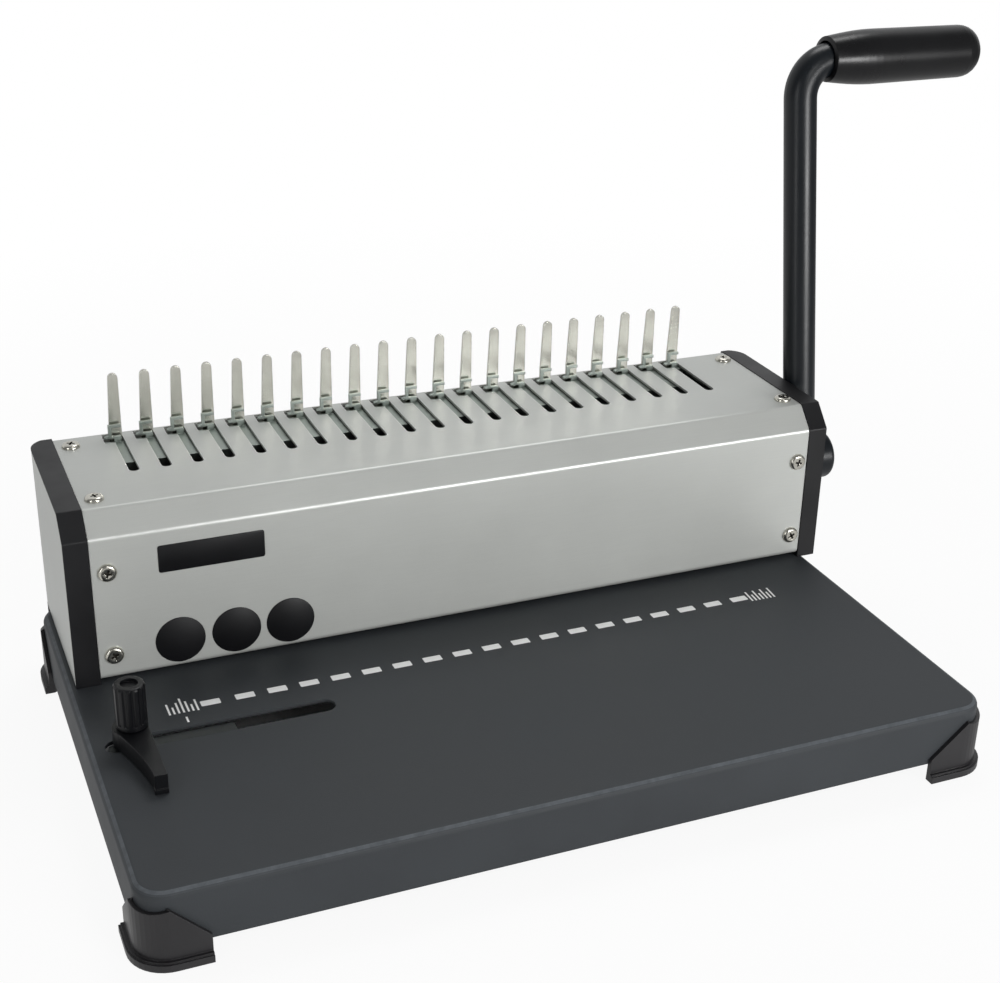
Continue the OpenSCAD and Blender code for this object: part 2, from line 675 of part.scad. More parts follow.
// One tooth of the sector, centred on angle a
function sector_tooth(a) = let (
    low = max(root_r, base_r),
    radii = [for (k = [0 : 4]) low + (pitch_r + tooth_module - low) * k / 4])
    concat([for (r = radii) r * [cos(a + tooth_half_angle(r)), sin(a + tooth_half_angle(r))]],
        [for (r = flip(radii)) r * [cos(a - tooth_half_angle(r)), sin(a - tooth_half_angle(r))]]);

module sector(x) {
    step = 360 / sector_teeth;
    difference() {
        union() {
            along_x(x - rack_t / 2, x + rack_t / 2) translate([shaft_y, shaft_z]) {
                // teeth from just before to just past the part that meets the rack
                for (k = [-1 : 7]) polygon(concat([[0, 0]], sector_tooth(90 - k * step)));
                polygon(concat([[0, 0]], [for (a = [110 : -5 : -20]) root_r * [cos(a), sin(a)]]));
            }
            rod_x(x - rack_t / 2 - 2, x + rack_t / 2 + 2, sector_hub_r, shaft_y, shaft_z);
        }
        rod_x(x - rack_t, x + rack_t, shaft_d / 2 + 0.01, shaft_y, shaft_z);
    }
}

module sector_left() color("#8f918c") sector(-rack_x);
module sector_right() color("#8f918c") sector(rack_x);

// Boss at the shaft's end that carries the bar
hub_r = 12.2;
hub_from = house_x1 + 0.8;
hub_to = bar_x + bar_d / 2 + 6.8;

module handle_hub() color("#1f2226") difference() {
    translate([hub_from, shaft_y, shaft_z]) rotate([0, 90, 0]) rotate_extrude($fn = 96)
        polygon(rounded([[0, 0], [hub_r, 0], [hub_r, hub_to - hub_from], [0, hub_to - hub_from]],
            [0, 1, 2.5, 0]));
    rod_x(hub_from - 1, shaft_end + 0.1, shaft_d / 2 + 0.01, shaft_y, shaft_z);
}

module handle_frame() translate([0, shaft_y, shaft_z]) rotate([-bar_lean, 0, 0]) children();

module handle_bar() color("#23282c") difference() {
    handle_frame() {
        translate([bar_x, 0, 4]) cylinder(h = bar_len - bar_bend - 4, r = bar_d / 2);
        translate([bar_x + bar_bend, 0, bar_len - bar_bend]) rotate([90, 0, 0]) rotate(90)
            rotate_extrude(angle = 90, $fn = 96) translate([bar_bend, 0]) circle(r = bar_d / 2);
        rod_x(bar_x + bar_bend, grip_to - 14, bar_d / 2, 0, bar_len);
    }
    rod_x(bar_x - 20, bar_x + 20, hub_r + 0.02, shaft_y, shaft_z);
}

// Outline of the grip as (distance along, radius)
grip_len = grip_to - grip_from;
function grip_swell(s) = let (mouth = 10.8, full = grip_d / 2, rise = 26)
    s < rise ? mouth + (full - mouth) * sin(90 * s / rise) : full - 0.5 * (s - rise) / (grip_len - rise);
grip_nose = 9.5;

module hand_grip() color("#1c1c20") handle_frame() translate([grip_from, 0, bar_len]) rotate([0, 90, 0])
    rotate_extrude($fn = 96) polygon(concat(
        [[bar_d / 2 + 0.02, bar_x + bar_bend - grip_from + 0.2], [bar_d / 2 + 0.8, 0]],
        [for (s = [0.6 : 4 : grip_len - grip_nose]) [grip_swell(s), s]],
        [for (k = [1 : 8]) [grip_swell(grip_len) - grip_nose * (1 - cos(k * 11.25)),
            grip_len - grip_nose + grip_nose * sin(k * 11.25)]],
        [[0, grip_len], [0, grip_len - 13.9], [bar_d / 2 + 0.02, grip_len - 13.9]]));

// ---------------------------------------------------------------- punch

carrier_d = 18;
ear = 4;

module punch_carrier() color("#8a8c88") difference() {
    union() {
        translate([-spring_x - ear, shaft_y - carrier_d / 2, carrier_low])
            cube([2 * (spring_x + ear), carrier_d, carrier_top - carrier_low]);
        // ears for the springs, each with the stud that its spring is screwed on to
        both_ends() {
            translate([-spring_x - ear, shaft_y + carrier_d / 2 - 1, carrier_low])
                cube([2 * ear, 9, carrier_top - carrier_low]);
            translate([-spring_x, spring_y, carrier_low]) cylinder(h = carrier_top - carrier_low + 5, r = 2.3);
        }
    }
    die_holes(carrier_low - 1, carrier_top + 1, 0.05);
    keeper_screw_holes();
}

module keeper_screw_holes() for (x = keeper_screw_x)
    translate([x, shaft_y, carrier_low - 1]) cylinder(h = keeper_top - carrier_low + 2, r = tapped_r);

module punches() color("#a6a8a4") for (x = ring_x) {
    translate([x - punch_w / 2, shaft_y - punch_d / 2, punch_tip])
        cube([punch_w, punch_d, carrier_top - punch_tip + 0.2]);
    translate([x - punch_w / 2 - 1, shaft_y - punch_d / 2 - 1, carrier_top])
        cube([punch_w + 2, punch_d + 2, head_t]);
}

// Plate over the punches' heads; the cams press on it
module punch_keeper() color("#8a8c88") difference() {
    translate([-spring_x - ear + 1, shaft_y - carrier_d / 2 + 1, keeper_top - keeper_t])
        cube([2 * (spring_x + ear - 1), carrier_d - 2, keeper_t]);
    keeper_screw_holes();
}

module keeper_screws() color("#8d8d88") for (x = keeper_screw_x)
    translate([x, shaft_y, keeper_top]) pan_screw(2.7, 1.2, screw_r, keeper_top - carrier_low - 2);

// Extension spring: close turns on the carrier's stud, and a loop over the peg
spring_r = 3.3;
spring_wire = 1;

module return_spring() {
    turns = 22;
    z0 = carrier_top + 0.2;
    z1 = peg_z - 3.4;
    step = (z1 - z0) / turns;
    translate([-spring_x, spring_y, 0]) rotate_extrude() polygon(concat(
        [for (i = [0 : turns - 1]) each [[spring_r - 0.28, z0 + i * step], [spring_r, z0 + (i + 0.25) * step],
            [spring_r, z0 + (i + 0.75) * step]]],
        [[spring_r - 0.28, z1], [spring_r - spring_wire, z1], [spring_r - spring_wire, z0]]));
    translate([-spring_x, spring_y, peg_z]) rotate([0, 90, 0])
        rotate_extrude() translate([3, 0]) circle(r = spring_wire / 2, $fn = 16);
    translate([-spring_x, spring_y, z1 - 0.6]) cylinder(h = 0.8, r = spring_r - 0.4);
}

module return_springs() color("#b8b8b0") both_ends() return_spring();

// ---------------------------------------------------------------- opener

// C-shaped hook in (x, z): a stem through the slot, a foot to the left, a leg and a top arm
stem_x = [-1.9, 1.5];
hook_foot_x = -6.2;
hook_leg_x = [-4.4, -2.9];
hook_arm_z = [5.2, 6.5];

module hook() along_y(hook_y, hook_y + hook_t) translate([0, house_top + 0.3]) polygon([
    [stem_x[0], rake_top - house_top - 0.4], [stem_x[1], rake_top - house_top - 0.4],
    [stem_x[1], 0], [stem_x[1] - 0.3, 1], [hook_leg_x[1], 1],
    [hook_leg_x[1], hook_arm_z[0]], [stem_x[1] - 0.1, hook_arm_z[0]], [stem_x[1] - 0.1, hook_arm_z[1]],
    [hook_leg_x[0], hook_arm_z[1]], [hook_leg_x[0], 1.4],
    [hook_foot_x, 0.9], [hook_foot_x, 0], [stem_x[0], 0]]);

module rake_plate() color("#7d837f") {
    last_x = ring_x[ring_count - 1];
    difference() {
        translate([-frame_x + rake_end + 0.4, rake_front, rake_top - rake_t])
            cube([2 * (frame_x - rake_end - 0.4), hook_y + hook_t - rake_front, rake_t]);
        // clearance notches between the hooks, open at the back
        for (i = [0 : ring_count - 2])
            translate([ring_x[i] + 4, hook_y - 3, rake_top - 2 * rake_t])
                cube([ring_pitch - 10.6, 6, 4 * rake_t]);
        // window under the last slot
        translate([last_x - 3.6, rake_front - 1, rake_top - 6]) cube([7, hook_y - rake_front - 1, 8]);
    }
    // stiffening lip folded down along the front edge
    along_x(-frame_x + 3 * rake_end, last_x - 4) polygon(folded(
        [[rake_front, rake_top - 5], [rake_front, rake_top], [rake_front + 3, rake_top]], 1.2, 0));
    for (x = ring_x) translate([x, 0, 0]) hook();
}

// Straight rack that hangs from the rake plate and meets the sector
module rack(x) along_x(x - rack_t / 2, x + rack_t / 2) {
    gap = tooth_slack / 2;
    low = rack_line - tooth_module;
    root = rack_line + 1.25 * tooth_module;
    first = -1;
    last = 8;
    half = tooth_pitch / 4 - gap;
    lean = tan(20);
    // teeth sit half a pitch away from the sector's, so that the two mesh at rest
    for (k = [first : last - 1]) let (y = shaft_y + (k + 0.5) * tooth_pitch)
        polygon([[y - half - (root - rack_line) * lean, root + 0.1], [y - half, rack_line],
            [y - half + tooth_module * lean, low], [y + half - tooth_module * lean, low],
            [y + half, rack_line], [y + half + (root - rack_line) * lean, root + 0.1]]);
    polygon([[shaft_y + first * tooth_pitch, root], [shaft_y + last * tooth_pitch + 8, root],
        [shaft_y + last * tooth_pitch + 8, rake_top - rake_t], [rake_front + 2, rake_top - rake_t],
        [rake_front - 4, root + 2.4], [shaft_y + first * tooth_pitch, root + 2.4]]);
}

module rack_left() color("#8f918c") rack(-rack_x);
module rack_right() color("#8f918c") rack(rack_x);

// ---------------------------------------------------------------- edge guide

// Plan of the guide's arm, with the knob's axis at the origin: a round boss that narrows to a
// blunt tip; the right side is the straight stop for the paper
stop_x = 6;
tip_y = -38.8;
boss_reach = 8.2;
tip_w = 5.1;

module guide_plan() intersection() {
    translate([-20, tip_y]) square([20 + stop_x, 60]);
    union() {
        circle(r = boss_reach);
        polygon(concat(
            [for (k = [0 : 12]) let (t = k / 12)
                [stop_x - tip_w - (boss_reach + stop_x - tip_w) * pow(1 - t, 1.6), t * tip_y]],
            [[stop_x, tip_y], [stop_x, 4], [-7, 4]]));
    }
}

module edge_guide() color("#202226") translate([guide_x, guide_y, 0]) difference() {
    union() {
        translate([0, 0, arm_low]) linear_extrude(arm_top - arm_low) guide_plan();
        // tongue that runs in the tray's slot
        translate([-4, -guide_slot_w / 2 + 0.3, tray_top - 1.3]) cube([8, guide_slot_w - 0.6, 3]);
        // thicker toe at the tip
        translate([stop_x - tip_w - 0.3, tip_y - 0.6, arm_low]) cube([tip_w + 0.3, 3, 2]);
    }
    translate([0, 0, tray_top - 4]) cylinder(h = 20, r = stud_r + 0.02);
}

// Tongue under the tray, which keeps the guide square to the slot
slider_t = 2;
stud_head_t = 1.5;
module guide_slider() color("#85877f") translate([guide_x, guide_y, tray_top - tray_t - slider_t - 0.3])
    linear_extrude(slider_t) difference() {
        half = guide_slot_w / 2 - 0.2;
        polygon([[-11.9, -half], [42.3, -half], [42.3, half], [-4.7, half], [-9.3, half - 0.8]]);
        circle(r = stud_r + 0.02);
    }

module guide_stud() color("#8d8d88") translate([guide_x, guide_y, tray_top - tray_t - 2.3 - stud_head_t]) {
    cylinder(h = 26.2, r = stud_r);
    cylinder(h = stud_head_t, r = 5, $fn = 6);
}

// Fluted knob with a dished top
module guide_knob() color("#1d1f23") translate([guide_x, guide_y, arm_top + 0.1]) difference() {
    flutes = 12;
    flute_r = 1.1;
    collar = 2.2;
    dish_r = 3.6;
    dish = 1.6;
    bore = 12.4;
    rotate_extrude()
        polygon(rounded([[0, 0], [knob_d / 2, 0], [knob_d / 2, knob_h], [0, knob_h]], [0, 0.5, 1.2, 0]));
    for (k = [0 : flutes - 1]) rotate(k * 360 / flutes) translate([knob_d / 2 + 0.5, 0, collar])
        cylinder(h = knob_h, r = flute_r, $fn = 24);
    translate([0, 0, knob_h - dish]) cylinder(h = dish + 1, r = dish_r);
    translate([0, 0, -1]) cylinder(h = bore + 1, r = stud_r + run);
}

// ---------------------------------------------------------------- chip drawer

drawer_x = 145;
drawer_from = 18;
drawer_low = 8.6;
drawer_top = 20.6;
drawer_t = 1.2;
drawer_rim = 3;
drawer_gap = 3.8;

module chip_drawer() color("#2a2b2e") {
    difference() {
        union() {
            translate([-drawer_x, drawer_from, drawer_low])
                cube([2 * drawer_x, tray_back - drawer_from, drawer_top - drawer_low]);
            // face plate that covers the way out, with a rolled lip to pull it by
            along_x(-drawer_x - 2 * drawer_rim, drawer_x + 2 * drawer_rim)
                translate([tray_back + 0.2, drawer_low])
                polygon(rounded([[0, 0], [3.8, -0.5], [4.4, 2.2], [1.6, 3],
                    [1.6, drawer_top - drawer_low + 1.1], [0, drawer_top - drawer_low + 1.1]],
                    [0, 1, 1, 1, 0.5, 0]));
            translate([-drawer_x, tray_back - 1, drawer_low])
                cube([2 * drawer_x, 1.6, drawer_top - drawer_low]);
        }
        translate([-drawer_x + drawer_t, drawer_from + drawer_t, drawer_low + drawer_t])
            cube([2 * (drawer_x - drawer_t), tray_back - drawer_from - 2 * drawer_t, 30]);
    }
    // rims that hang in the runners
    both_ends()
        translate([-drawer_x - drawer_rim, drawer_from, drawer_top - 1.6])
            cube([drawer_rim + 0.6, tray_back - drawer_from + 0.5, 1.6]);
}

// Runner under the tray: a folded angle that the drawer's rim slides on
module drawer_runner() difference() {
    runner_t = 1.2;
    outer = drawer_x + 2 * drawer_rim;
    shelf = drawer_top - 2;
    along_y(drawer_from - 4, tray_back - tray_t - 0.2) polygon([
        [-outer, tray_top - tray_t], [-outer, shelf - runner_t], [-drawer_x - 0.6, shelf - runner_t],
        [-drawer_x - 0.6, shelf], [-outer + runner_t, shelf], [-outer + runner_t, tray_top - tray_t]]);
    // notch for the die's end
    translate([-drawer_x - 9, shaft_y - die_d / 2 - 0.5, tray_top - die_t - 0.2]) cube([9, die_d + 1, die_t]);
}

module drawer_runner_left() color("#9a9c98") drawer_runner();
module drawer_runner_right() color("#9a9c98") mirror([1, 0, 0]) drawer_runner();

// ---------------------------------------------------------------- output

place() {
    base_tray();
    foot_front_left();
    foot_front_right();
    foot_rear_left();
    foot_rear_right();
    foot_screws();
    front_cover();
    rear_cover();
    end_cap_left();
    end_cap_right();
    side_panel_left();
    side_panel_right();
    cover_screws();
    rear_screws();
    frame_plate_left();
    frame_plate_right();
    frame_screws();
    shaft_bush_left();
    shaft_bush_right();
    tie_rod();
    spring_pegs();
    die_plate();
    punch_guide_plate();
    throat_spacers();
    comb_blades();
    blade_bar();
    rake_rail_left();
    rake_rail_right();
    drawer_runner_left();
    drawer_runner_right();
    drive_shaft();
    punch_cams();
    sector_left();
    sector_right();
    handle_hub();
    handle_bar();
    hand_grip();
    punch_carrier();
    punches();
    punch_keeper();
    keeper_screws();
    return_springs();
    rake_plate();
    rack_left();
    rack_right();
    edge_guide();
    guide_slider();
    guide_stud();
    guide_knob();
    chip_drawer();
}
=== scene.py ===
"""Finishes, printed marks, screws, stage and camera of a hand-lever comb binding machine."""

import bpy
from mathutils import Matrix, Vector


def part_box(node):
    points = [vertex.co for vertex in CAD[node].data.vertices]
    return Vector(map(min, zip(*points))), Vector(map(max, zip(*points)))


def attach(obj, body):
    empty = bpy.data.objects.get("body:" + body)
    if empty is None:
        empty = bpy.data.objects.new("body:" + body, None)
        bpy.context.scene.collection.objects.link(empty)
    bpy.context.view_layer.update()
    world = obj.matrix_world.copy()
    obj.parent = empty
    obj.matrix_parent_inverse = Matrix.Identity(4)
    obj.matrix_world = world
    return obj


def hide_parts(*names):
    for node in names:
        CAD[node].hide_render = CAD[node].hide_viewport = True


bl_info = {
    "name": "Comb Binding Machine",
    "version": (1, 0, 0),
    "blender": (4, 5, 0),
    "location": "3D View > Sidebar > Comb Binder",
    "description": "Dresses the comb binding machine with its finishes, marks and fasteners",
    "category": "Add Mesh",
}

import math

import bpy
from bpy.props import FloatProperty, FloatVectorProperty, IntProperty, PointerProperty
from bpy.types import Operator, Panel, PropertyGroup
from mathutils import Matrix, Vector

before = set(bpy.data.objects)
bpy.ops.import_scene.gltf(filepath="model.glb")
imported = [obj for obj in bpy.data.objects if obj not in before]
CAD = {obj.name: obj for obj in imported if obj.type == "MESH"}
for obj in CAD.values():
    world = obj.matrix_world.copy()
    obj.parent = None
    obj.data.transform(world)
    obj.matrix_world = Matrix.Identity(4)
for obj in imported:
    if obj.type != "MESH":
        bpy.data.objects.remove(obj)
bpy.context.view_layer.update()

# The machine's own zero: the middle blade, the front cover's face and the table
BLADES_LOW, BLADES_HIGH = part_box("comb_blades")
COVER_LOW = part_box("front_cover")[0]
ZERO = Vector(((BLADES_LOW.x + BLADES_HIGH.x) / 2, COVER_LOW.y, 0))
TRAY_LOW, TRAY_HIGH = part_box("base_tray")

# The front cover's slope, in millimetres: the height where it starts, and how far back it ends
SLOPE_LOW = 100.5
SLOPE_DEPTH = 9.2

# A length in metres that is as good as nothing
TINY = 1e-6


def mm(length):
    """Millimetres to metres."""
    return length / 1000


def in_mm(length):
    """Metres to millimetres."""
    return 1000 * length


def at(x, y, z):
    """A point given in millimetres from the machine's own zero."""
    return ZERO + Vector((x, y, z)) / 1000


# ---------------------------------------------------------------- settings


def shade(name, description, value):
    """A colour setting, given as it looks on screen."""
    text = value.lstrip("#")
    channels = [int(text[k : k + 2], 16) / 255 for k in (0, 2, 4)]
    return FloatVectorProperty(
        name=name,
        description=description,
        default=channels,
        size=3,
        min=0,
        max=1,
        subtype="COLOR_GAMMA",
    )


def size(name, description, value):
    """A length setting, given in millimetres."""
    return FloatProperty(
        name=name,
        description=description,
        default=mm(value),
        min=0,
        unit="LENGTH",
        subtype="DISTANCE",
        precision=5,
    )


def level(name, description, value):
    """A light level; 1 is plain white for the room, and lamps are in watts."""
    return FloatProperty(name=name, description=description, default=value, min=0, precision=3)


class BinderMarks(PropertyGroup):
    """Sizes of what is printed on the tray and stuck on the cover."""

    dash_length: size("Dash length", "Length of a printed dash", 8.4)
    dash_width: size("Dash width", "Width of a printed dash", 4.1)
    dash_pitch: size("Dash pitch", "From one printed dash to the next", 14.2)
    dash_count: IntProperty(
        name="Dashes", description="How many dashes the line has", default=19, min=1
    )
    line_width: size("Tick width", "Width of a printed tick", 0.85)
    tick_pitch: size("Tick pitch", "From one printed tick to the next", 2.0)
    ink: size("Ink thickness", "Height of the print above the paint", 0.04)
    plate_width: size("Plate width", "Width of the bare black plate", 46.2)
    plate_height: size("Plate height", "Height of the bare black plate", 12.8)
    badge_diameter: size("Badge diameter", "Diameter of the bare round badges", 21.8)
    badge_thickness: size("Badge thickness", "Thickness of the plate and the badges", 0.3)


class BinderColours(PropertyGroup):
    """Colours of the finishes."""

    tray: shade("Tray", "Powder coat of the tray", "#393c3f")
    cover: shade("Covers", "Satin silver of the covers", "#c4c6c2")
    cap: shade("End caps", "Moulded plastic of the end caps", "#0c0c0f")
    foot: shade("Feet", "Moulded plastic of the feet", "#232224")
    bar: shade("Handle bar", "Gloss paint of the bar", "#0d1217")
    grip: shade("Grip", "Plastic of the hand grip", "#0d0d0f")
    guide: shade("Edge guide", "Plastic of the edge guide", "#0b0c0f")
    ink: shade("Print", "Ink of the printed marks", "#fbfbfa")
    blade: shade("Blades", "Plated steel of the blades", "#d8d7ce")
    zinc: shade("Opener", "Zinc plating of the opener", "#a4aca6")


class BinderLight(PropertyGroup):
    """How bright the studio, the lamps and the floor's reflections are."""

    all_round: level("All round", "Light from every side", 0.13)
    behind: level("Behind", "Light from behind the machine", 0.56)
    front: level("Front", "Light from in front of the machine", 0.13)
    right: level("Right", "Light from the right", 0.08)
    key: level("Key softbox", "Power of the softbox in front", 2.2)
    back_top: level("Top softbox", "Power of the softbox high behind the machine", 5.5)
    low_fill: level("Low fill", "Power of the wide strip low in front", 15.5)
    right_strip: level("Right strip", "Power of the strip on the right", 1.8)
    left_strip: level("Left strip", "Power of the strip on the left", 1.8)
    shine_left: level("Shine left", "How bright the floor's left is in reflections", 0.68)
    shine_right: level("Shine right", "How bright the floor's right is in reflections", 0.6)
    shine_drop: level("Shine drop", "How much less the floor shines at the far right", 0.4)


# ---------------------------------------------------------------- shaping helpers


def lone(piece=None):
    """Leaves edit mode and selects one piece, or nothing."""
    if bpy.context.object and bpy.context.object.mode != "OBJECT":
        bpy.ops.object.mode_set(mode="OBJECT")
    bpy.ops.object.select_all(action="DESELECT")
    if piece:
        piece.select_set(True)
    bpy.context.view_layer.objects.active = piece
    return piece


def block(low, high):
    """A plain block between two corners, ready to be shaped."""
    lone()
    bpy.ops.mesh.primitive_cube_add(size=1, location=(low + high) / 2)
    bpy.ops.transform.resize(value=high - low)
    bpy.ops.object.transform_apply(location=True, rotation=True, scale=True)
    return bpy.context.object


def disc(sides, radius, depth, place, rotation=(0, 0, 0)):
    """A plain round block, ready to be shaped."""
    lone()
    bpy.ops.mesh.primitive_cylinder_add(
        vertices=sides, radius=radius, depth=depth, location=place, rotation=rotation
    )
    bpy.ops.object.transform_apply(location=True, rotation=True, scale=True)
    return bpy.context.object


def pick(piece, kind, test):
    """Enters edit mode with the vertices, edges or faces selected that pass the test."""
    lone(piece)
    bpy.ops.object.mode_set(mode="EDIT")
    modes = {"vertices": "VERT", "edges": "EDGE", "polygons": "FACE"}
    bpy.ops.mesh.select_mode(type=modes[kind])
    bpy.ops.mesh.select_all(action="DESELECT")
    bpy.ops.object.mode_set(mode="OBJECT")
    mesh = piece.data
    for part in getattr(mesh, kind):
        if kind == "vertices":
            part.select = test(part.co)
        elif kind == "edges":
            part.select = test(*[mesh.vertices[v].co for v in part.vertices])
        else:
            part.select = test(part.center, part.normal)
    bpy.ops.object.mode_set(mode="EDIT")


def apply(piece, kind, **settings):
    """Adds a modifier and applies it."""
    lone(piece)
    modifier = piece.modifiers.new(kind.title(), kind)
    for name, value in settings.items():
        setattr(modifier, name, value)
    bpy.ops.object.modifier_apply(modifier=modifier.name)


def soften(piece, width, **limits):
    """Rounds the sharp edges of a piece by a width in millimetres."""
    apply(piece, "BEVEL", width=mm(width), segments=2, limit_method="ANGLE", **limits)


def join(pieces):
    """Makes one piece of several."""
    lone(pieces[0])
    for piece in pieces:
        piece.select_set(True)
    if len(pieces) > 1:
        bpy.ops.object.join()
    return bpy.context.object


def copy_of(piece, place):
    """A copy with its own mesh, put where the matrix says."""
    lone(piece)
    bpy.ops.object.duplicate(linked=False)
    copy = bpy.context.object
    copy.matrix_world = place
    bpy.ops.object.transform_apply(location=True, rotation=True, scale=True)
    return copy


def finish_piece(piece, name, material, body, smooth=40):
    """Names a piece, gives it its finish, unless it has its own, and puts it on its body."""
    lone(piece)
    piece.name = piece.data.name = name
    bpy.ops.object.transform_apply(location=True, rotation=True, scale=True)
    bpy.ops.object.shade_smooth_by_angle(angle=math.radians(smooth))
    if material:
        piece.data.materials.clear()
        piece.data.materials.append(material)
    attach(piece, body)
    return piece


# ---------------------------------------------------------------- shader helpers


def linear(colour):
    """Screen colour to the linear light that shaders work in."""
    return [c / 12.92 if c <= 0.04045 else ((c + 0.055) / 1.055) ** 2.4 for c in colour] + [1]


def dimmer(colour, factor):
    """A linear colour times a factor."""
    return [c * factor for c in colour[:3]] + [1]


def add(tree, kind, links=None, **values):
    """Adds a node: links gives its sockets an output or a value, values are its settings."""
    node = tree.nodes.new(kind)
    for name, value in values.items():
        setattr(node, name, value)
    for socket, value in (links or {}).items():
        if isinstance(value, bpy.types.NodeSocket):
            tree.links.new(value, node.inputs[socket])
        else:
            node.inputs[socket].default_value = value
    return node


def maths(tree, operation, *values):
    """One step of arithmetic."""
    return add(
        tree, "ShaderNodeMath", dict(enumerate(values)), operation=operation
    ).outputs[0]


def new_material(name, **shader):
    """A material, its tree, its surface shader with constant values, and object coordinates."""
    material = bpy.data.materials.new(name)
    material.use_nodes = True
    tree = material.node_tree
    surface = tree.nodes["Principled BSDF"]
    for socket, value in shader.items():
        surface.inputs[socket].default_value = value
    place = add(tree, "ShaderNodeTexCoord").outputs["Object"]
    return material, tree, surface, place


def noise(tree, place, grain, stretch=(1, 1, 1), detail=2, roughness=0.5):
    """Noise whose features are about grain millimetres wide, drawn out by stretch."""
    scale = [1 / s for s in stretch]
    turned = add(tree, "ShaderNodeMapping", {"Vector": place, "Scale": scale}).outputs["Vector"]
    links = {"Vector": turned, "Scale": 1 / mm(grain), "Detail": detail, "Roughness": roughness}
    return add(tree, "ShaderNodeTexNoise", links).outputs["Fac"]


def ramp(tree, value, low, high, start=0.3, end=0.7):
    """Goes from low to high while the value goes from start to end."""
    links = {"Value": value, "From Min": start, "From Max": end, "To Min": low, "To Max": high}
    return add(tree, "ShaderNodeMapRange", links).outputs["Result"]


def blend(tree, factor, first, second):
    """Mixes two colours."""
    factor_socket, first_socket, second_socket = 0, 6, 7
    links = {factor_socket: factor, first_socket: first, second_socket: second}
    return add(tree, "ShaderNodeMix", links, data_type="RGBA").outputs[2]


def product(tree, first, second):
    """One value times another."""
    return maths(tree, "MULTIPLY", first, second)


def axis_of(tree, vector, axis):
    """One coordinate of a vector."""
    return add(tree, "ShaderNodeSeparateXYZ", {0: vector}).outputs[axis]


def soft_edges(tree, radius):
    """Normals that roll over sharp edges, as a real edge is never quite sharp."""
    return add(tree, "ShaderNodeBevel", {"Radius": mm(radius)}, samples=4).outputs["Normal"]


def edge_mask(tree, radius, low=0.02, high=0.25):
    """1 along edges and 0 on flat faces."""
    rolled = soft_edges(tree, radius)
    flat = add(tree, "ShaderNodeNewGeometry").outputs["Normal"]
    dot = add(tree, "ShaderNodeVectorMath", {0: rolled, 1: flat}, operation="DOT_PRODUCT")
    return ramp(tree, dot.outputs["Value"], 1, 0, 1 - high, 1 - low)


def relief(tree, height, depth, normal):
    """Bump of the given depth in millimetres over the given normals."""
    links = {"Height": height, "Distance": mm(depth), "Strength": 1.0, "Normal": normal}
    return add(tree, "ShaderNodeBump", links).outputs["Normal"]


def band(tree, value, middle, half, fade):
    """1 within half of the middle of a coordinate, and 0 beyond the fade, in millimetres."""
    away = maths(tree, "ABSOLUTE", maths(tree, "SUBTRACT", value, mm(middle)))
    return ramp(tree, away, 1, 0, mm(half), mm(half + fade))


def connect(tree, surface, tone, roughness, normal=None):
    """Gives a surface its colour, its roughness and its normals."""
    tree.links.new(tone, surface.inputs["Base Color"])
    tree.links.new(roughness, surface.inputs["Roughness"])
    if normal:
        tree.links.new(normal, surface.inputs["Normal"])


# ---------------------------------------------------------------- finishes

# Linear colours painted on the sheet: its pale cut edges, partly bare metal and partly a painted
# edge highlight, and the painted highlight along the lower fold
PALE_CUT_EDGE_AND_HIGHLIGHT = (0.86, 0.86, 0.84, 1)
LOWER_FOLD_HIGHLIGHT = (0.95, 0.95, 0.94, 1)


def silver_sheet(colours):
    """Satin silver on folded sheet: fine grain, faint rolling lines, pale cut edges that are
    partly a painted highlight, and a painted highlight along the lower fold.
    """
    material, tree, surface, place = new_material("satin_silver_sheet", Metallic=0.4)
    base = linear(colours.cover)
    cloud = noise(tree, place, grain=60, detail=3)
    rolled = noise(tree, place, grain=0.35, stretch=(40, 1, 1), detail=1)
    grain = noise(tree, place, grain=0.25, detail=1)
    tone = blend(tree, ramp(tree, cloud, 0, 1), dimmer(base, 0.95), dimmer(base, 1.04))
    tone = blend(tree, ramp(tree, rolled, 0, 0.16), tone, dimmer(base, 0.8))
    tone = blend(tree, ramp(tree, grain, 0, 0.25), tone, dimmer(base, 1.15))
    height, depth = axis_of(tree, place, "Z"), axis_of(tree, place, "Y")
    # pale cut edges, partly bare metal and partly a painted edge highlight; the upper fold is no
    # cut edge, so it gets little of it
    upper_fold = band(tree, depth, in_mm(ZERO.y) + SLOPE_DEPTH, half=1.2, fade=1.2)
    cut = product(tree, edge_mask(tree, 0.8, low=0.01, high=0.14), 0.8)
    cut = product(tree, cut, ramp(tree, upper_fold, 1, 0.2, 0, 1))
    tone = blend(tree, cut, tone, PALE_CUT_EDGE_AND_HIGHLIGHT)
    # a painted highlight along the lower fold, on the front only, not round the sides and the back
    in_front = ramp(tree, depth, 1, 0, ZERO.y + mm(2), ZERO.y + mm(3))
    fold = product(tree, band(tree, height, SLOPE_LOW, half=0.15, fade=0.4), in_front)
    uneven = ramp(tree, noise(tree, place, grain=9, detail=4), 0.15, 0.75)
    tone = blend(tree, product(tree, fold, uneven), tone, LOWER_FOLD_HIGHLIGHT)
    normal = relief(tree, grain, depth=0.012, normal=soft_edges(tree, 0.45))
    connect(tree, surface, tone, ramp(tree, grain, 0.36, 0.48), normal)
    return material


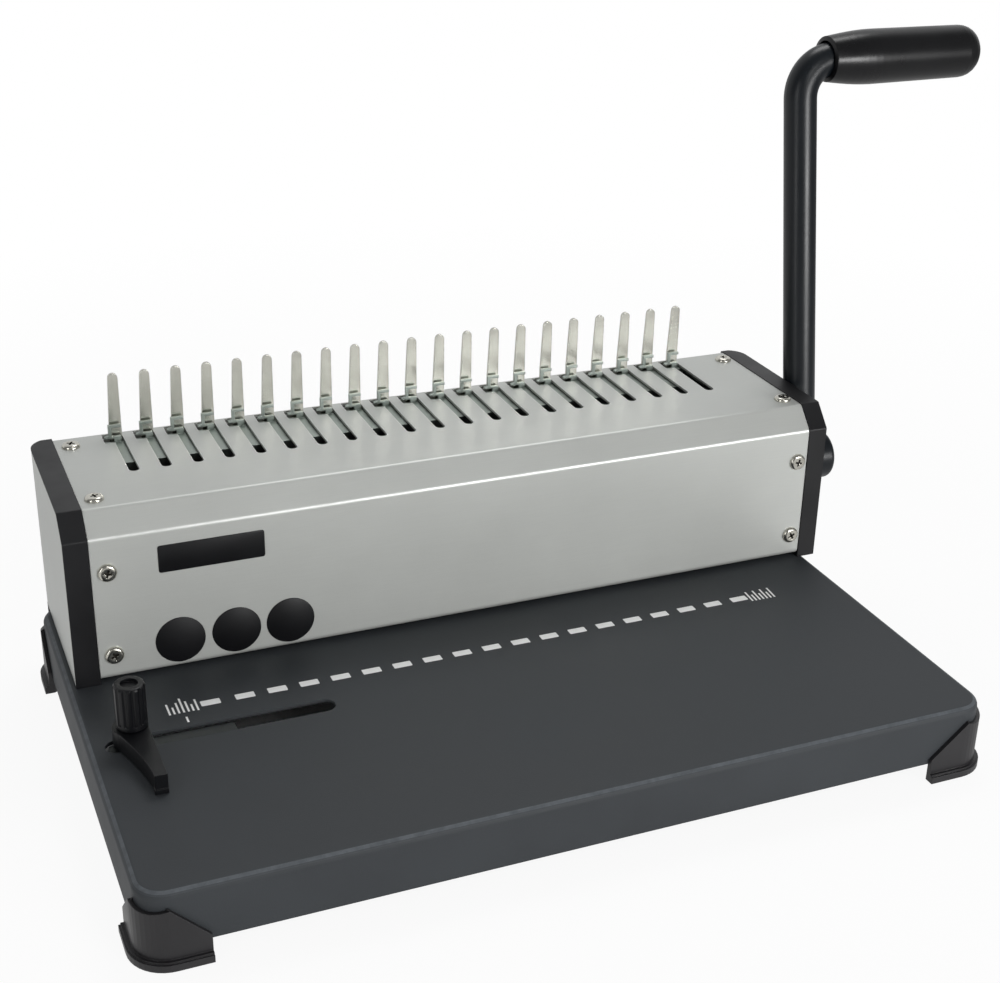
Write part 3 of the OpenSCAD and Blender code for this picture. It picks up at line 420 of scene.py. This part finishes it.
def powder_coat(name, colour, sheen, roughness, grain=0.6, depth=0.03, fold_highlight=0.0):
    """Powder coat on steel: faint orange peel, soft patches and, when asked, a painted highlight
    on its folds.
    """
    material, tree, surface, place = new_material(name, **{"Specular IOR Level": sheen})
    base = linear(colour)
    patch = noise(tree, place, grain=45, detail=4)
    peel = noise(tree, place, grain=grain, detail=2)
    speck = noise(tree, place, grain=0.3, detail=1)
    tone = blend(tree, ramp(tree, patch, 0, 1), dimmer(base, 0.9), dimmer(base, 1.12))
    tone = blend(tree, ramp(tree, speck, 0, 0.2), tone, dimmer(base, 1.3))
    if fold_highlight:
        # a painted highlight where a fold turns from flat to upright, found by which way the
        # surface faces
        facing = add(tree, "ShaderNodeNewGeometry").outputs["Normal"]
        up = axis_of(tree, facing, "Z")
        turned = product(tree, ramp(tree, up, 0, 1, 0.55, 0.8), ramp(tree, up, 1, 0, 0.93, 0.99))
        uneven = ramp(tree, noise(tree, place, grain=3, detail=3), 0.5, 1)
        tone = blend(tree, product(tree, turned, uneven), tone, dimmer(base, fold_highlight))
    normal = relief(tree, peel, depth, normal=soft_edges(tree, 0.8))
    connect(tree, surface, tone, ramp(tree, patch, *roughness), normal)
    return material


def moulded(name, colour, sheen, roughness=(0.38, 0.52), grain=0.4, depth=0.02):
    """Moulded plastic: fine spark-eroded texture, with its edges rubbed a little paler."""
    material, tree, surface, place = new_material(name, **{"Specular IOR Level": sheen})
    base = linear(colour)
    edge = 0.5
    patch = noise(tree, place, grain=25, detail=3)
    texture = noise(tree, place, grain=grain, detail=2, roughness=0.6)
    wear = product(tree, edge_mask(tree, edge), 0.25)
    tone = blend(tree, ramp(tree, patch, 0, 1), dimmer(base, 0.85), dimmer(base, 1.2))
    tone = blend(tree, wear, tone, dimmer(base, 2.2))
    normal = relief(tree, texture, depth, normal=soft_edges(tree, edge))
    connect(tree, surface, tone, ramp(tree, patch, *roughness), normal)
    return material


def steel(
    name,
    colour,
    roughness=(0.28, 0.42),
    grain=0.15,
    stretch=(1, 1, 30),
    cloud=12,
    edge=0.3,
    bright=1.35,
):
    """Plated or ground steel: drawn-out grain, cloudy plating and brighter cut edges."""
    material, tree, surface, place = new_material(name, Metallic=1.0)
    base = linear(colour)
    lines = noise(tree, place, grain=grain, stretch=stretch, detail=1)
    clouds = noise(tree, place, grain=cloud, detail=4, roughness=0.6)
    wear = product(tree, edge_mask(tree, edge), 0.6)
    bare = [min(1, c) for c in dimmer(base, bright)]
    tone = blend(tree, ramp(tree, clouds, 0, 1), dimmer(base, 0.85), dimmer(base, 1.1))
    tone = blend(tree, ramp(tree, lines, 0, 0.3), tone, dimmer(base, 0.75))
    tone = blend(tree, wear, tone, bare)
    normal = relief(tree, lines, depth=0.008, normal=soft_edges(tree, edge))
    connect(tree, surface, tone, ramp(tree, clouds, *roughness), normal)
    return material


def printed_ink(colours):
    """Screen-printed white ink, slightly thin in places."""
    material, tree, surface, place = new_material(
        "white_screen_print", **{"Specular IOR Level": 0.3}
    )
    base = linear(colours.ink)
    thin = noise(tree, place, grain=0.8, detail=3)
    tone = blend(tree, ramp(tree, thin, 0, 0.2, 0.5, 0.8), base, dimmer(base, 0.75))
    connect(tree, surface, tone, ramp(tree, thin, 0.45, 0.6))
    return material


def plastic_finishes(colours):
    """The painted, printed and moulded finishes by name."""
    return {
        "silver": silver_sheet(colours),
        # the tray's folds carry a painted highlight
        "tray": powder_coat(
            "slate_powder_coat", colours.tray, sheen=0.24, roughness=(0.5, 0.6), fold_highlight=2.7
        ),
        "bar": powder_coat(
            "gloss_bar_paint",
            colours.bar,
            sheen=0.38,
            roughness=(0.28, 0.36),
            grain=2.5,
            depth=0.02,
        ),
        "ink": printed_ink(colours),
        "cap": moulded("black_moulded_cap", colours.cap, sheen=0.4),
        "foot": moulded(
            "dark_grey_moulded_foot", colours.foot, sheen=0.45, roughness=(0.34, 0.46)
        ),
        "grip": moulded(
            "smooth_black_grip",
            colours.grip,
            sheen=0.32,
            roughness=(0.24, 0.34),
            grain=0.6,
            depth=0.008,
        ),
        "guide": moulded(
            "black_guide_plastic", colours.guide, sheen=0.34, roughness=(0.3, 0.42)
        ),
        "drawer": moulded("black_drawer_plastic", colours.cap, sheen=0.4),
        "plate": moulded(
            "bare_black_label_stock",
            colours.cap,
            sheen=0.35,
            roughness=(0.4, 0.5),
            grain=0.2,
            depth=0.004,
        ),
    }


def metal_finishes(colours):
    """The plated and ground finishes by name."""
    return {
        "blade": steel(
            "plated_blade_steel",
            colours.blade,
            roughness=(0.2, 0.26),
            grain=0.3,
            stretch=(1, 1, 60),
            cloud=40,
            edge=0.5,
            bright=1.5,
        ),
        # the opener's brighter edges are partly bare metal and partly a painted highlight on the
        # hooks' top edges
        "zinc": steel(
            "greenish_zinc_plate",
            colours.zinc,
            roughness=(0.3, 0.5),
            stretch=(1, 6, 1),
            cloud=5,
            edge=0.5,
            bright=2,
        ),
        "slider": steel(
            "blackened_slider_steel",
            (0.3, 0.31, 0.31),
            roughness=(0.4, 0.55),
            stretch=(12, 1, 1),
            cloud=6,
        ),
        "tool": steel("ground_tool_steel", (0.72, 0.72, 0.71), stretch=(30, 1, 1)),
        "drive": steel(
            "oiled_machine_steel", (0.66, 0.66, 0.65), roughness=(0.25, 0.4), stretch=(1, 1, 1)
        ),
        "frame": steel(
            "zinc_frame_sheet",
            (0.74, 0.75, 0.73),
            roughness=(0.35, 0.5),
            stretch=(1, 12, 1),
            cloud=8,
        ),
        "screw": steel(
            "nickel_plated_screws",
            (0.84, 0.83, 0.79),
            roughness=(0.14, 0.24),
            grain=0.3,
            stretch=(1, 1, 1),
            cloud=3,
            edge=0.12,
        ),
        # a darker steel painted into the screws' recesses as their shade
        "recess": steel(
            "screw_recess",
            (0.3, 0.29, 0.27),
            roughness=(0.4, 0.5),
            grain=0.3,
            stretch=(1, 1, 1),
            cloud=3,
            edge=0.12,
        ),
        "bush": steel(
            "sintered_bronze",
            (0.8, 0.66, 0.42),
            roughness=(0.4, 0.55),
            stretch=(1, 1, 1),
            cloud=4,
        ),
    }


# Which finish each built node wears
WEARS = {
    "silver": ("front_cover", "rear_cover", "side_panel_left", "side_panel_right"),
    "tray": ("base_tray",),
    "cap": ("end_cap_left", "end_cap_right", "rake_rail_left", "rake_rail_right"),
    "foot": ("foot_front_left", "foot_front_right", "foot_rear_left", "foot_rear_right"),
    "bar": ("handle_bar", "handle_hub"),
    "grip": ("hand_grip",),
    "guide": ("edge_guide", "guide_knob"),
    "drawer": ("chip_drawer",),
    "blade": ("comb_blades",),
    "zinc": ("rake_plate",),
    "slider": ("guide_slider",),
    "tool": ("die_plate", "punch_guide_plate", "punch_carrier", "punches", "punch_keeper"),
    "drive": (
        "drive_shaft",
        "punch_cams",
        "sector_left",
        "sector_right",
        "rack_left",
        "rack_right",
        "tie_rod",
        "spring_pegs",
        "return_springs",
        "guide_stud",
    ),
    "frame": (
        "frame_plate_left",
        "frame_plate_right",
        "throat_spacers",
        "drawer_runner_left",
        "drawer_runner_right",
        "blade_bar",
    ),
    "screw": ("cover_screws", "rear_screws", "foot_screws", "keeper_screws", "frame_screws"),
    "bush": ("shaft_bush_left", "shaft_bush_right"),
}
MATERIALS = {}


class COMBBINDER_OT_finishes(Operator):
    """Makes the finishes and gives every built node its own."""

    bl_idname = "combbinder.finishes"
    bl_label = "Finishes"

    def execute(self, context):
        colours = context.scene.binder_colours
        MATERIALS.update(plastic_finishes(colours))
        MATERIALS.update(metal_finishes(colours))
        dressed = [name for names in WEARS.values() for name in names]
        bare = [name for name in CAD if name not in dressed]
        if bare:
            raise RuntimeError(f"no finish for {bare}")
        for finish, names in WEARS.items():
            for name in names:
                CAD[name].data.materials.clear()
                CAD[name].data.materials.append(MATERIALS[finish])
        return {"FINISHED"}


# ---------------------------------------------------------------- printed marks

# The dashed line, in millimetres: its middle, its drift to the back per length, the first
# dash's extra step to the left, and the radius of a dash's corners
DASH_MIDDLE, DASH_DRIFT = (-1.95, -29.8), 0.78 / 128
FIRST_DASH_STEP, DASH_CORNER = 0.75, 0.45
# How far the ink reaches into the paint
INK_SINK = 0.02
# Ticks beside the dashes: where the middle one stands, how much they lean, and each one's far
# and near end
LEFT_SCALE = (
    -142.5,
    0.0,
    [
        (-26.1, -34.8),
        (-29.2, -34.6),
        (-26.1, -34.6),
        (-23.1, -34.6),
        (-26.1, -34.6),
        (-29.2, -34.6),
        (-26.0, -34.9),
    ],
)
LEFT_MARK = (-142.5, 0.0, [(-38.2, -42.5)])
RIGHT_SCALE = (
    137.3,
    0.08,
    [
        (-24.2, -33.1),
        (-27.5, -33.2),
        (-24.2, -33.2),
        (-27.4, -33.2),
        (-24.1, -33.2),
        (-27.3, -33.2),
        (-24.0, -33.2),
    ],
)


def same(*lengths):
    """Whether lengths in metres agree."""
    return max(lengths) - min(lengths) < TINY


def printed_dash(marks, k, low, high):
    """Dash number k of the line, between two heights, with rounded corners."""
    x = DASH_MIDDLE[0] + (k - (marks.dash_count - 1) / 2) * in_mm(marks.dash_pitch)
    if k == 0:
        x -= FIRST_DASH_STEP
    y = DASH_MIDDLE[1] + DASH_DRIFT * x
    reach, half = in_mm(marks.dash_length) / 2, in_mm(marks.dash_width) / 2
    dash = block(at(x - reach, y - half, low), at(x + reach, y + half, high))
    pick(dash, "edges", lambda a, b: same(a.x, b.x) and same(a.y, b.y))
    bpy.ops.mesh.bevel(offset=mm(DASH_CORNER), segments=3)
    return lone(dash)


def printed_tick(marks, x, far, near, lean, low, high):
    """A tick between two heights, whose far end leans to the right."""
    half = in_mm(marks.line_width) / 2
    tick = block(at(x - half, near, low), at(x + half, far, high))
    pick(tick, "vertices", lambda co: co.y > at(0, near + 0.1, 0).y)
    bpy.ops.transform.translate(value=(mm(lean * (far - near)), 0, 0))
    return lone(tick)


class COMBBINDER_OT_tray_print(Operator):
    """Prints the dashed line and the measuring ticks on the tray."""

    bl_idname = "combbinder.tray_print"
    bl_label = "Tray print"

    def execute(self, context):
        marks = context.scene.binder_marks
        paint = in_mm(TRAY_HIGH.z)
        heights = (paint - INK_SINK, paint + in_mm(marks.ink))
        pieces = [printed_dash(marks, k, *heights) for k in range(marks.dash_count)]
        for middle, lean, ticks in (LEFT_SCALE, LEFT_MARK, RIGHT_SCALE):
            for k, (far, near) in enumerate(ticks):
                x = middle + (k - (len(ticks) - 1) / 2) * in_mm(marks.tick_pitch)
                pieces.append(printed_tick(marks, x, far, near, lean, *heights))
        finish_piece(join(pieces), "tray_print", MATERIALS["ink"], "root")
        return {"FINISHED"}


# ---------------------------------------------------------------- bare plates

# Places on the front cover's face, in millimetres
PLATE_LEFT, PLATE_LOW = -142.6, 80.7
BADGE_MIDDLES, BADGE_HEIGHT = (-135.4, -110.6, -86.3), 47.1
# The plate's corner radius, the rounding of all edges, and the gap to the cover
PLATE_CORNER, LABEL_EDGE, LABEL_GAP = 1.15, 0.12, 0.01


class COMBBINDER_OT_bare_plates(Operator):
    """Sticks the bare black plate and the three bare round badges on the front cover."""

    bl_idname = "combbinder.bare_plates"
    bl_label = "Bare plates"

    def execute(self, context):
        marks = context.scene.binder_marks
        thick = in_mm(marks.badge_thickness)
        right = PLATE_LEFT + in_mm(marks.plate_width)
        top = PLATE_LOW + in_mm(marks.plate_height)
        plate = block(at(PLATE_LEFT, -thick, PLATE_LOW), at(right, -LABEL_GAP, top))
        pick(plate, "edges", lambda a, b: same(a.x, b.x) and same(a.z, b.z))
        bpy.ops.mesh.bevel(offset=mm(PLATE_CORNER), segments=5)
        soften(plate, LABEL_EDGE)
        finish_piece(plate, "bare_front_plate", MATERIALS["plate"], "root")
        badges = []
        for x in BADGE_MIDDLES:
            middle = at(x, -thick / 2, BADGE_HEIGHT)
            upright = (math.pi / 2, 0, 0)
            radius, depth = marks.badge_diameter / 2, mm(thick - LABEL_GAP)
            badge = disc(96, radius, depth, middle, upright)
            soften(badge, LABEL_EDGE)
            badges.append(badge)
        finish_piece(
            join(badges), "bare_round_badges", MATERIALS["plate"], "root"
        )
        return {"FINISHED"}


# ---------------------------------------------------------------- screws

# Radius and height of a head, its first turn and the turn from each screw to the next
COVER_SCREW = (4.1, 1.7, 17, 47)
REAR_SCREW = (3.4, 1.3, 11, 61)
# Where the screws stand, in millimetres: in from the cover's ends, back from its front, and up
COVER_LAP, LEFT_INSET, RIGHT_INSET = 0.1, 6.8, 5.4
TOP_ROWS, FRONT_ROWS, REAR_ROWS = (18.2, 77.3), (45.2, 84.8), (45.2, 92)
# Sizes shared by all heads, in millimetres
SHANK_RADIUS, SHANK_LENGTH, HEAD_EDGE = 1.45, 3, 0.08
# Shares of a head's height: its rounding, and the recess's floor
CROWN, RECESS_FLOOR = 0.85, 0.15
# Shares of a head's radius: length and half width of a recess arm
RECESS_ARM, RECESS_HALF = 0.6, 0.14
# How much the recess narrows to its floor, along and across an arm
RECESS_TAPER = (0.4, 0.6, 1)


def recess_arm(radius, height, turn):
    """A tapered cutter for one arm of a cross recess, turned about Z."""
    arm, half = mm(radius * RECESS_ARM), mm(radius * RECESS_HALF)
    floor = mm(height * RECESS_FLOOR)
    cutter = block(Vector((-arm, -half, floor)), Vector((arm, half, mm(height + 1))))
    pick(cutter, "vertices", lambda co: co.z < 2 * floor)
    bpy.ops.transform.resize(value=RECESS_TAPER, center_override=(0, 0, 0))
    lone(cutter)
    turned = copy_of(cutter, Matrix.Rotation(turn, 4, "Z"))
    bpy.data.objects.remove(cutter)
    return turned


def pan_head(radius, height):
    """A pan head on z = 0 with a cross recess painted dark as shade, and a short shank, all in
    millimetres.
    """
    head = disc(64, mm(radius), mm(height), (0, 0, mm(height) / 2))
    pick(head, "edges", lambda a, b: min(a.z, b.z) > mm(height) - TINY)
    bpy.ops.mesh.bevel(offset=mm(height * CROWN), segments=7, profile=0.5)
    pick(head, "polygons", lambda centre, normal: normal.z < -0.9)
    bpy.ops.mesh.inset(thickness=mm(radius - SHANK_RADIUS))
    down = (0, 0, -mm(SHANK_LENGTH))
    bpy.ops.mesh.extrude_region_move(TRANSFORM_OT_translate={"value": down})
    lone(head)
    arms = [recess_arm(radius, height, turn) for turn in (0, math.pi / 2)]
    apply(arms[0], "BOOLEAN", object=arms[1], operation="UNION", solver="EXACT")
    apply(head, "BOOLEAN", object=arms[0], operation="DIFFERENCE", solver="EXACT")
    soften(head, HEAD_EDGE, angle_limit=math.radians(35))
    for cutter in arms:
        bpy.data.objects.remove(cutter)
    head.data.materials.append(MATERIALS["screw"])
    head.data.materials.append(MATERIALS["recess"])
    # painted shade: the recess, all that lies inside the head away from its rim, its top and its
    # foot, gets the darker steel
    low, high, rim = mm(height * 0.1), mm(height * 0.8), mm(radius * 0.66)
    pick(head, "polygons", lambda c, normal: low < c.z < high and c.xy.length < rim)
    head.active_material_index = 1
    bpy.ops.object.material_slot_assign()
    return lone(head)


def screw_heads(places, radius, height, first_turn, next_turn):
    """A pan head at each place and facing, as one piece."""
    master = pan_head(radius, height)
    heads = []
    for k, (x, y, z, facing) in enumerate(places):
        turn = Matrix.Rotation(math.radians(first_turn + next_turn * k), 4, "Z")
        heads.append(copy_of(master, Matrix.Translation(at(x, y, z)) @ facing @ turn))
    bpy.data.objects.remove(master)
    return join(heads)


class COMBBINDER_OT_cover_screws(Operator):
    """Fits the covers' pan-head screws with real cross recesses."""

    bl_idname = "combbinder.cover_screws"
    bl_label = "Cover screws"

    def execute(self, context):
        low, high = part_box("front_cover")
        left = in_mm((low - ZERO).x) - COVER_LAP + LEFT_INSET
        right = in_mm((high - ZERO).x) + COVER_LAP - RIGHT_INSET
        top, rear = in_mm(high.z), in_mm((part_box("rear_cover")[1] - ZERO).y)
        upward = Matrix.Identity(4)
        forward = Matrix.Rotation(math.pi / 2, 4, "X")
        backward = Matrix.Rotation(-math.pi / 2, 4, "X")
        places = [(x, y, top, upward) for x in (left, right) for y in TOP_ROWS]
        places += [(x, 0, z, forward) for x in (left, right) for z in FRONT_ROWS]
        heads = screw_heads(places, *COVER_SCREW)
        screws = finish_piece(heads, "cover_screw_heads", None, "root")
        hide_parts("cover_screws")
        places = [(x, rear, z, backward) for x in (left, right) for z in REAR_ROWS]
        heads = screw_heads(places, *REAR_SCREW)
        screws = finish_piece(heads, "rear_screw_heads", None, "root")
        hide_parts("rear_screws")
        return {"FINISHED"}


# ---------------------------------------------------------------- stage

# Side of the floor and its depth under the feet, in metres
FLOOR_SIZE, FLOOR_DROP = 14, 0.0002
# Linear greys of the floor, and the lit backdrop's white
FLOOR_DARK, FLOOR_PALE, WHITE = (0.93, 0.93, 0.93, 1), (0.95, 0.95, 0.95, 1), (1, 1, 1, 1)
# How far inside the tray the floor under it starts to be dark, and over what width, in
# millimetres
UNDER_X, UNDER_Y = (14, 8), (40, 15)
# Share of plain white in the floor as seen, near and far, and from where to where in metres
WHITE_NEAR, WHITE_FAR, WHITE_REACH = 0.92, 1, (0.3, 0.8)
# Where the floor's shine goes from left to right, and where it drops, in metres
SHINE_REACH, SHINE_DROP_REACH = (-0.1, 0.3), (0.5, 1.1)
# Colour of the room's light
ROOM_LIGHT = (0.98, 0.99, 1.0, 1)
# Sides of the room: the setting, the axis, and where along it the light starts and is full
SIDES = (
    ("behind", "Y", 0, 0.5),
    ("front", "Y", 0, -0.5),
    ("right", "X", 0.1, 0.7),
)
# Lamps, in metres: name, setting, place, target and span
LAMPS = (
    ("key_softbox", "key", (0.15, -1.25, 1.05), (0, 0, 0.08), (0.45, 0.45)),
    ("top_softbox", "back_top", (0.4, 0.55, 1.4), (0, -0.05, 0.05), (0.7, 0.5)),
    ("low_fill", "low_fill", (0.72, -1.7, 0.34), (0, 0, 0.08), (0.6, 0.4)),
    ("right_strip", "right_strip", (0.85, -1.15, 0.24), (0, 0, 0.08), (0.35, 0.45)),
    ("left_strip", "left_strip", (-0.98, -0.6, 0.42), (0, 0, 0.12), (0.22, 0.8)),
)
# Camera: place in millimetres, yaw, pitch and roll in degrees, lens and sensor in millimetres
CAMERA_PLACE = (-252.627, -629.782, 410.574)
CAMERA_TURN = (-22.887, 24.856, 1.163)
LENS, SENSOR, CLIP = 59.895, 36, (0.01, 50)


def mixed(tree, factor, first, second):
    """Mixes two shaders."""
    mix = add(tree, "ShaderNodeMixShader", {0: factor, 1: first, 2: second})
    return mix.outputs[0]


def lay_floor(light):
    """A pale floor that looks white, keeps the object's shadow and shines in reflections."""
    lone()
    bpy.ops.mesh.primitive_plane_add(size=FLOOR_SIZE, location=(0, 0, -FLOOR_DROP))
    floor = bpy.context.object
    floor.name = "floor"
    bpy.ops.object.transform_apply(location=True, rotation=True, scale=True)
    material, tree, surface, place = new_material(
        "pale_floor", **{"Specular IOR Level": 0.0, "Roughness": 0.9}
    )
    soft = ramp(tree, noise(tree, place, grain=400), 0, 1)
    tree.links.new(blend(tree, soft, FLOOR_DARK, FLOOR_PALE), surface.inputs["Base Color"])
    # neither white nor shine reaches under the tray, which stays dark through the guide's slot
    x, y = axis_of(tree, place, "X"), axis_of(tree, place, "Y")
    middle, reach = in_mm(TRAY_LOW + TRAY_HIGH) / 2, in_mm(TRAY_HIGH - TRAY_LOW) / 2
    across = band(tree, x, middle.x, reach.x - UNDER_X[0], UNDER_X[1])
    along = band(tree, y, middle.y, reach.y - UNDER_Y[0], UNDER_Y[1])
    open_floor = ramp(tree, product(tree, across, along), 1, 0, 0, 1)
    # near the machine the floor takes its shadow, and further out it is as white as the room
    far = add(tree, "ShaderNodeVectorMath", {0: place}, operation="LENGTH").outputs["Value"]
    plain = ramp(tree, far, WHITE_NEAR, WHITE_FAR, *WHITE_REACH)
    white = add(tree, "ShaderNodeEmission", {"Color": WHITE, "Strength": 1.0}).outputs[0]
    # in reflections the floor shines as a lit backdrop does
    rise = ramp(tree, x, light.shine_left, light.shine_right, *SHINE_REACH)
    drop = ramp(tree, x, 0, light.shine_drop, *SHINE_DROP_REACH)
    strength = product(tree, maths(tree, "SUBTRACT", rise, drop), open_floor)
    shine = add(tree, "ShaderNodeEmission", {"Strength": strength}).outputs[0]
    ray = add(tree, "ShaderNodeLightPath").outputs
    shown = mixed(tree, ray["Is Glossy Ray"], surface.outputs[0], shine)
    direct = product(tree, ray["Is Camera Ray"], product(tree, plain, open_floor))
    shown = mixed(tree, direct, shown, white)
    tree.links.new(shown, tree.nodes["Material Output"].inputs["Surface"])
    floor.data.materials.append(material)


def light_room(scene, light):
    """A white room as the camera sees it, whose sides light the object each at its own level."""
    world = scene.world or bpy.data.worlds.new("studio")
    scene.world = world
    world.use_nodes = True
    tree = world.node_tree
    tree.nodes.clear()
    aim = add(tree, "ShaderNodeTexCoord").outputs["Generated"]
    total = light.all_round
    for setting, axis, start, full in SIDES:
        strength, along = getattr(light, setting), axis_of(tree, aim, axis)
        if start < full:
            side = ramp(tree, along, 0, strength, start, full)
        else:
            side = ramp(tree, along, strength, 0, full, start)
        total = maths(tree, "ADD", total, side)
    room = add(tree, "ShaderNodeBackground", {"Color": ROOM_LIGHT, "Strength": total})
    seen = add(tree, "ShaderNodeBackground", {"Color": WHITE, "Strength": 1.0})
    camera_ray = add(tree, "ShaderNodeLightPath").outputs["Is Camera Ray"]
    shown = mixed(tree, camera_ray, room.outputs[0], seen.outputs[0])
    add(tree, "ShaderNodeOutputWorld", {"Surface": shown})


def hang_lamps(light):
    """The soft lamps, each aimed at its target and unseen by the camera."""
    for name, setting, place, target, span in LAMPS:
        lone()
        bpy.ops.object.light_add(type="AREA", location=place)
        lamp = bpy.context.object
        lamp.name = name
        lamp.data.shape = "RECTANGLE"
        lamp.data.size, lamp.data.size_y = span
        lamp.data.energy = getattr(light, setting)
        lamp.visible_camera = False
        way = Vector(target) - Vector(place)
        lamp.rotation_euler = way.to_track_quat("-Z", "Y").to_euler()


def set_camera(scene):
    """The camera, in front of the machine to its left and above."""
    yaw, pitch, roll = (math.radians(angle) for angle in CAMERA_TURN)
    ahead = math.cos(pitch)
    back = Vector((math.sin(yaw) * ahead, -math.cos(yaw) * ahead, math.sin(pitch)))
    flat = Vector((math.cos(yaw), math.sin(yaw), 0))
    up = back.cross(flat)
    right = math.cos(roll) * flat + math.sin(roll) * up
    top = -math.sin(roll) * flat + math.cos(roll) * up
    bpy.ops.object.camera_add(location=at(*CAMERA_PLACE))
    camera = bpy.context.object
    camera.name = "front_left_camera"
    camera.rotation_euler = Matrix((right, top, back)).transposed().to_euler()
    camera.data.sensor_width = SENSOR
    camera.data.lens = LENS
    camera.data.clip_start, camera.data.clip_end = CLIP
    scene.camera = camera


class COMBBINDER_OT_stage(Operator):
    """Sets the pale floor, the soft lamps and the camera."""

    bl_idname = "combbinder.stage"
    bl_label = "Stage"

    def execute(self, context):
        scene = context.scene
        lay_floor(scene.binder_light)
        light_room(scene, scene.binder_light)
        hang_lamps(scene.binder_light)
        set_camera(scene)
        scene.view_settings.view_transform = "Standard"
        return {"FINISHED"}


# ---------------------------------------------------------------- sidebar

STEPS = ("finishes", "tray_print", "bare_plates", "cover_screws", "stage")


class COMBBINDER_PT_sidebar(Panel):
    """Buttons for the steps, and the settings they use."""

    bl_idname = "COMBBINDER_PT_sidebar"
    bl_label = "Comb Binder"
    bl_space_type = "VIEW_3D"
    bl_region_type = "UI"
    bl_category = "Comb Binder"

    def draw(self, context):
        for step in STEPS:
            self.layout.operator(f"combbinder.{step}")
        scene = context.scene
        for group in (scene.binder_marks, scene.binder_colours, scene.binder_light):
            box = self.layout.box()
            for name in group.__annotations__:
                box.prop(group, name)


CLASSES = (
    BinderMarks,
    BinderColours,
    BinderLight,
    COMBBINDER_OT_finishes,
    COMBBINDER_OT_tray_print,
    COMBBINDER_OT_bare_plates,
    COMBBINDER_OT_cover_screws,
    COMBBINDER_OT_stage,
    COMBBINDER_PT_sidebar,
)


def register():
    for cls in CLASSES:
        bpy.utils.register_class(cls)
    bpy.types.Scene.binder_marks = PointerProperty(type=BinderMarks)
    bpy.types.Scene.binder_colours = PointerProperty(type=BinderColours)
    bpy.types.Scene.binder_light = PointerProperty(type=BinderLight)


def unregister():
    del bpy.types.Scene.binder_light
    del bpy.types.Scene.binder_colours
    del bpy.types.Scene.binder_marks
    for cls in reversed(CLASSES):
        bpy.utils.unregister_class(cls)


def main():
    register()
    for step in STEPS:
        getattr(bpy.ops.combbinder, step)()


if __name__ == "__main__":
    main()
